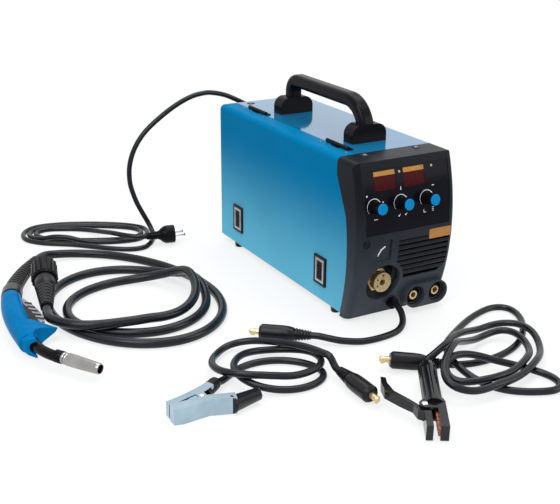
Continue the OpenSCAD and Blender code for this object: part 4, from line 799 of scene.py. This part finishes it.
def add_winding():
    low = WOUND_R - WIRE_RISE
    profile = [(CORE_R, WOUND_LEFT), (low, WOUND_LEFT)]
    for i in range(int((WOUND_RIGHT - WOUND_LEFT) / WIRE_D)):
        z = WOUND_LEFT + WIRE_D * (i + 0.5)
        profile += [(low, z - 0.5 * WIRE_D), (WOUND_R, z - 0.22 * WIRE_D),
                    (WOUND_R, z + 0.22 * WIRE_D)]
    profile += [(low, WOUND_RIGHT), (CORE_R, WOUND_RIGHT)]
    axis = Matrix.Translation(REEL_AT) @ Matrix.Rotation(math.pi / 2, 4, "Y")
    piece = add_mesh("wound_wire", moved(axis, turned(profile, 96)), "wire_copper", "reel",
                     SHARP_WIRE)
    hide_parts("wire_winding")


add_mains_pins()
add_winding()


# Front: a bowed face, a cylinder about an axis along x through FRONT_Y and FRONT_Z
FRONT_Y, FRONT_Z, FRONT_R = 104.0, 145.0, 344.0
PANEL_R, WINDOW_R, SIGN_R, SHADE_SHEET_R, SLAT_R = 343.2, 342.8, 342.75, 337.0, 343.4
PRINT_SINK = 0.2
FORWARD = Vector((0, -1, 0))


def on_front(x, z, r):
    a = math.asin((z - FRONT_Z) / r)
    return Vector((x, FRONT_Y - r * math.cos(a), FRONT_Z + r * math.sin(a)))


def facing(x, z, r):
    """The place of a form that stands on the front and looks forward."""
    at = on_front(x, z, r)
    return along(at, at + FORWARD)


def printed(outline, r, lift=0.12):
    """A thin raised patch on the bowed front, from an outline of x and z."""
    points = [on_front(x, z, r + h) for h in (-PRINT_SINK, lift) for x, z in outline]
    return points, between(len(outline))


def dot(x, z, r, steps=18):
    turns = [2 * math.pi * k / steps for k in range(steps)]
    return [(x + r * math.cos(a), z + r * math.sin(a)) for a in turns]


def bar(x0, z0, x1, z1, w):
    d = Vector((x1 - x0, z1 - z0)).normalized()
    u, v = -d.y * w / 2, d.x * w / 2
    return [(x0 + u, z0 + v), (x0 - u, z0 - v), (x1 - u, z1 - v), (x1 + u, z1 + v)]


def rounded_box(x0, z0, x1, z1, r, steps=6):
    out = []
    for cx, cz, a0 in ((x1 - r, z1 - r, 0), (x0 + r, z1 - r, 90), (x0 + r, z0 + r, 180),
                       (x1 - r, z0 + r, 270)):
        for k in range(steps + 1):
            a = math.radians(a0 + 90 * k / steps)
            out.append((cx + r * math.cos(a), cz + r * math.sin(a)))
    return out


# Control panel: plain marks, two lamps, strips on the windows, pointers on the knobs
KNOB_X, KNOB_Z = (-62.5, -14.0, 34.5), 194.0
SCALE_R, SCALE_FROM, SCALE_SWEEP = 12.9, 222, 250
LAMPS = ((-12.9, 240.1), (47.2, 241.6))
STRIP_X, STRIP_LOW, STRIP_STEP, STRIP_ROWS = ((-59.7, -21.3), (-5.7, 32.7)), 237.8, 1.7, 4
POINTER_ANGLE, POINTER_HALF = math.radians(135), 0.65


def scale(x, z, steps=28):
    """A tapered arc round a knob, thin at the lower left and thick at the right."""
    outer, inner = [], []
    for k in range(steps + 1):
        a = math.radians(SCALE_FROM - SCALE_SWEEP * k / steps)
        r = SCALE_R - (0.35 + 1.25 * k / steps)
        outer.append((x + SCALE_R * math.cos(a), z + SCALE_R * math.sin(a)))
        inner.append((x + r * math.cos(a), z + r * math.sin(a)))
    return [[outer[k], outer[k + 1], inner[k + 1], inner[k]] for k in range(steps)]


def add_panel_marks():
    marks = [q for x in KNOB_X for q in scale(x, KNOB_Z)]
    marks += [dot(-74.7, 211.6, 1.3), dot(-46.5, 199.5, 1.1), dot(-62, 174.6, 0.9),
              bar(-60.4, 174.6, -56.8, 174.6, 1.0)]
    marks += [bar(-12.8, 213, -12.8, 218.5, 1.1), dot(-17.6, 174.1, 1.2),
              bar(-17.6, 174.1, -14.6, 176.4, 0.8), dot(-5.3, 174.4, 1.2),
              bar(-5.3, 174.4, -2.4, 176.6, 0.8)]
    marks += [bar(45.4, 212.2, 49.6, 212.2, 1.1), bar(29, 177, 29, 172.4, 0.9),
              bar(28.6, 172.4, 32.8, 172.4, 0.9)]
    marks += [bar(44.6, z, 48, z, 0.8) for z in (173, 175.7, 178.4)]
    add_mesh("panel_marks", joined(*[printed(m, PANEL_R) for m in marks]), PRINT_WHITE, "case")


def add_panel_lamps():
    lens = turned([(0, -0.5), (1.9, -0.5), (1.9, 0.4), (1.4, 1.0), (0, 1.3)], 24)
    lamps = [moved(facing(x, z, PANEL_R), lens) for x, z in LAMPS]
    add_mesh("panel_lamps", joined(*lamps), LAMP, "case")


def add_window_strips():
    strips = []
    for x0, x1 in STRIP_X:
        for k in range(STRIP_ROWS):
            z0, z1 = STRIP_LOW + STRIP_STEP * k, STRIP_LOW + STRIP_STEP * (k + 1)
            strips.append(printed([(x0, z0), (x1, z0), (x1, z1), (x0, z1)], WINDOW_R, 0.1))
    add_mesh("window_strips", joined(*strips), AMBER, "case")


def add_knob_pointers():
    """A white line on each knob, along its side and over its edge."""
    reach = Vector((math.cos(POINTER_ANGLE), 0, math.sin(POINTER_ANGLE)))
    turn = Matrix((reach, FORWARD.cross(reach), FORWARD)).transposed().to_4x4()
    run = block((9.25, -POINTER_HALF, 3.2), (9.95, POINTER_HALF, 20.5))
    tip = block((8.4, -POINTER_HALF, 19.6), (9.5, POINTER_HALF, 21.35))
    for k, x in enumerate(KNOB_X):
        place = Matrix.Translation(on_front(x, KNOB_Z, FRONT_R)) @ turn
        add_mesh("knob_pointer_%d" % (k + 1), moved(place, joined(run, tip)), PRINT_WHITE,
                 "dial_%d" % (k + 1))


# Lower front: bare plate, recess, pictogram, louvres and rings in the cable sockets
RECESS_X, RECESS_Z = -76.9, 137.5
SLAT_N, SLAT_STEP, SLAT_FACE = 7, 9.0, 3.3
GRILLE_LOW, GRILLE_LEFT, GRILLE_RIGHT, GRILLE_CORNER = 66.0, -16.0, 81.0, 14
EURO_X, EURO_Z, EURO_EDGE = -36.0, 65.0, 37.0
CABLE_X, CABLE_Z, BOSS_FACE, BOSS_R = (27.0, 70.0), 30.0, -234.0, 17.3


def add_front_plate():
    outline = rounded_box(41, 127, 82.5, 143, 2.0)
    plate = add_mesh("bare_plate", printed(outline, FRONT_R, 0.6), PLATE, "case")
    softened(plate, 0.25)


def add_front_recess():
    cup = turned([(0, -0.6), (2.4, -0.5), (2.9, 0.2), (3.5, 0.35), (3.9, 0.0), (3.9, -1.0),
                  (0, -1.0)], 32)
    add_mesh("front_recess", moved(facing(RECESS_X, RECESS_Z, FRONT_R), cup), TRIM, "case")


def add_torch_sign():
    marks = [bar(-54.5, 113.5, -47.2, 125, 2.0), bar(-47.8, 124.2, -40.5, 128.6, 2.0),
             bar(-56.2, 111.4, -53.6, 115.2, 3.4)]
    add_mesh("torch_sign", joined(*[printed(m, SIGN_R, 0.15) for m in marks]), PRINT_WHITE,
             "case")


def add_louvre_shade_sheet():
    """Dark strips that follow the bow behind the louvres, a painted shade for the dark inside seen
    through the grille.
    """
    strips = [printed(rounded_box(-17.5, z, 81.5, z + 9.2, 0.8), SHADE_SHEET_R, 0.3)
              for z in range(64, 136, 9)]
    add_mesh("louvre_shade_sheet", joined(*strips), TRIM, "case")


def add_louvre_faces():
    """Dark faces on the slats, each over a thin lip that stays bare, so that the bezel's painted
    floor light shows there as a painted light edge.
    """
    faces = []
    for i in range(SLAT_N):
        z = GRILLE_LOW + SLAT_STEP * (i + 0.75) + 1.5
        bite = math.sqrt(max(0.0, EURO_EDGE ** 2 - (z - EURO_Z) ** 2))
        left = max(GRILLE_LEFT, EURO_X + bite) + 0.5
        right = min(GRILLE_RIGHT, GRILLE_RIGHT - GRILLE_CORNER + z - GRILLE_LOW) - 0.5
        faces.append(printed(rounded_box(left, z, right, z + SLAT_FACE, 0.5), SLAT_R, 0.1))
    add_mesh("louvre_faces", joined(*faces), TRIM, "case")


def add_socket_rings():
    """Two stepped rings inside each cable socket's recess."""
    rings = []
    for x in CABLE_X:
        mouth = Vector((x, BOSS_FACE, CABLE_Z))
        for inner, depth in ((16.0, 3.0), (14.2, 9.5)):
            edge = [(inner, depth + 1.6), (inner, depth + 0.4), (inner + 0.5, depth),
                    (BOSS_R, depth), (BOSS_R, depth + 1.6)]
            rings.append(moved(along(mouth, mouth - FORWARD), turned(edge, 48)))
    add_mesh("socket_rings", joined(*rings), COLLAR, "case")


add_panel_marks()
add_panel_lamps()
add_window_strips()
add_front_plate()
add_front_recess()
add_torch_sign()
add_louvre_shade_sheet()
add_louvre_faces()
add_socket_rings()
add_knob_pointers()


# Case: rims of the latches, rivets of the hinges and dark rings round the screws on top, a painted
# shade for the screws' recesses
CASE_TOP, HALF_W = 260.0, 90.0
HINGE_Y, RIVET_X, RIVET_APART = (-122.0, 140.0), -65.0, 37
LATCH_Y, LATCH_Z, LATCH_W, LATCH_H = (-134.0, 152.0), 62.0, 33, 48
RIM_W, RIM_LAP, RIM_PROUD = 3.8, 0.3, 3.3
SCREWS = ((-48, -184), (48, -184), (-36, 206), (36, 206))


def add_latch_rims():
    """A raised rim round each latch, and a dark backing behind its slider."""
    forms = []
    w, h = LATCH_W / 2, LATCH_H / 2
    x0, x1 = -HALF_W - RIM_PROUD, -HALF_W + 0.2
    for y in LATCH_Y:
        for z0, z1, y0, y1 in ((-h - RIM_LAP, -h + RIM_W, -w - RIM_LAP, w + RIM_LAP),
                               (h - RIM_W, h + RIM_LAP, -w - RIM_LAP, w + RIM_LAP),
                               (-h + RIM_W, h - RIM_W, -w - RIM_LAP, -w + RIM_W),
                               (-h + RIM_W, h - RIM_W, w - RIM_W, w + RIM_LAP)):
            forms.append(block((x0, y + y0, LATCH_Z + z0), (x1, y + y1, LATCH_Z + z1)))
        forms.append(block((-HALF_W - 1.02, y - 8.2, LATCH_Z - 15.9),
                           (-HALF_W - 0.5, y + 8.2, LATCH_Z + 15.9)))
    softened(add_mesh("latch_rims", joined(*forms), TRIM, "door"), 0.4)


def add_hinge_rivets():
    head = turned([(0, -0.4), (2.6, -0.4), (2.5, 0.5), (1.7, 1.1), (0, 1.35)], 24)
    heads = [moved(Matrix.Translation((RIVET_X, y + s, CASE_TOP)), head)
             for y in HINGE_Y for s in (-RIVET_APART, RIVET_APART)]
    add_mesh("hinge_rivets", joined(*heads), DARK_SCREW, "door")


def add_screw_recess_shade():
    # Dark rings round the screws: painted shade for their recesses
    ring = turned([(4.6, -0.6), (7.2, -0.6), (7.2, 0.25), (6.6, 0.5), (5.0, 0.5), (4.6, 0.25)], 36)
    rings = [moved(Matrix.Translation((x, y, CASE_TOP)), ring) for x, y in SCREWS]
    add_mesh("screw_recess_shade", joined(*rings), TRIM, "case")


add_latch_rims()
add_hinge_rivets()
add_screw_recess_shade()


# Floor, light and world
WHITE = (1.0, 1.0, 1.0, 1.0)
FLOOR_REACH, FLOOR_DROP = 12.0, 0.0002


def seen_directly(tree):
    """1 for rays from the camera and for mirrored ones, 0 for those that light the object."""
    path = tree.nodes.new("ShaderNodeLightPath")
    seen = tree.nodes.new("ShaderNodeMath")
    seen.operation = "MAXIMUM"
    tree.links.new(path.outputs["Is Camera Ray"], seen.inputs[0])
    tree.links.new(path.outputs["Is Glossy Ray"], seen.inputs[1])
    return seen.outputs[0]


def mixed(tree, share, first, second, end):
    """Two shaders mixed by a share, as the tree's result."""
    mix = tree.nodes.new("ShaderNodeMixShader")
    tree.links.new(share, mix.inputs["Fac"])
    tree.links.new(first, mix.inputs[1])
    tree.links.new(second, mix.inputs[2])
    tree.links.new(mix.outputs["Shader"], tree.nodes[end].inputs["Surface"])


def floor_finish():
    """A pale floor that keeps the object's shadow and turns white away from it."""
    mat = bpy.data.materials.new("pale_floor")
    mat.use_nodes = True
    tree = mat.node_tree
    shader = tree.nodes["Principled BSDF"]
    shader.inputs["Base Color"].default_value = (0.86, 0.87, 0.88, 1.0)
    shader.inputs["Roughness"].default_value = 0.7
    glow = add_node(tree, "Emission", Color=WHITE)
    place = tree.nodes.new("ShaderNodeTexCoord")
    away = tree.nodes.new("ShaderNodeVectorMath")
    away.operation = "LENGTH"
    tree.links.new(place.outputs["Object"], away.inputs[0])
    fade = add_node(tree, "MapRange", From_Min=0.35, From_Max=1.3, To_Min=0.72, To_Max=1.0)
    tree.links.new(away.outputs["Value"], fade.inputs["Value"])
    share = tree.nodes.new("ShaderNodeMath")
    share.operation = "MULTIPLY"
    tree.links.new(seen_directly(tree), share.inputs[0])
    tree.links.new(fade.outputs["Result"], share.inputs[1])
    mixed(tree, share.outputs[0], shader.outputs["BSDF"], glow.outputs["Emission"],
          "Material Output")
    return mat


def add_floor():
    mesh = bpy.data.meshes.new("floor")
    r = FLOOR_REACH
    mesh.from_pydata([(-r, -r, 0), (r, -r, 0), (r, r, 0), (-r, r, 0)], [], [(0, 1, 2, 3)])
    mesh.materials.append(floor_finish())
    floor = bpy.data.objects.new("floor", mesh)
    floor.location.z = -FLOOR_DROP
    scene.collection.objects.link(floor)


def add_world():
    world = bpy.data.worlds.new("studio")
    scene.world = world
    world.use_nodes = True
    tree = world.node_tree
    back = tree.nodes["Background"]
    back.inputs["Color"].default_value = (0.95, 0.97, 1.0, 1.0)
    back.inputs["Strength"].default_value = 0.55
    white = add_node(tree, "Background", Color=WHITE, Strength=1.0)
    mixed(tree, seen_directly(tree), back.outputs["Background"], white.outputs["Background"],
          "World Output")


def add_lamps():
    for name, place, aim, size, width, power in (
            ("key", (-1.9, -1.2, 2.4), (-0.15, 0.0, 0.1), 1.8, 1.8, 38.0),
            ("top", (0.5, 0.8, 2.6), (0.0, 0.0, 0.1), 2.2, 2.2, 34.0),
            ("fill", (1.9, -2.0, 1.2), (0.0, -0.1, 0.12), 1.6, 1.6, 18.0),
            ("strip", (-0.3, -0.4, 1.7), (-0.3, -0.1, 0.0), 2.4, 0.16, 9.0)):
        data = bpy.data.lights.new(name, "AREA")
        data.shape = "RECTANGLE"
        data.size, data.size_y = size, width
        data.energy = power
        lamp = bpy.data.objects.new(name, data)
        lamp.location = place
        lamp.rotation_euler = (Vector(aim) - Vector(place)).to_track_quat("-Z", "Y").to_euler()
        scene.collection.objects.link(lamp)


add_floor()
add_world()
add_lamps()
scene.view_settings.view_transform = "Standard"
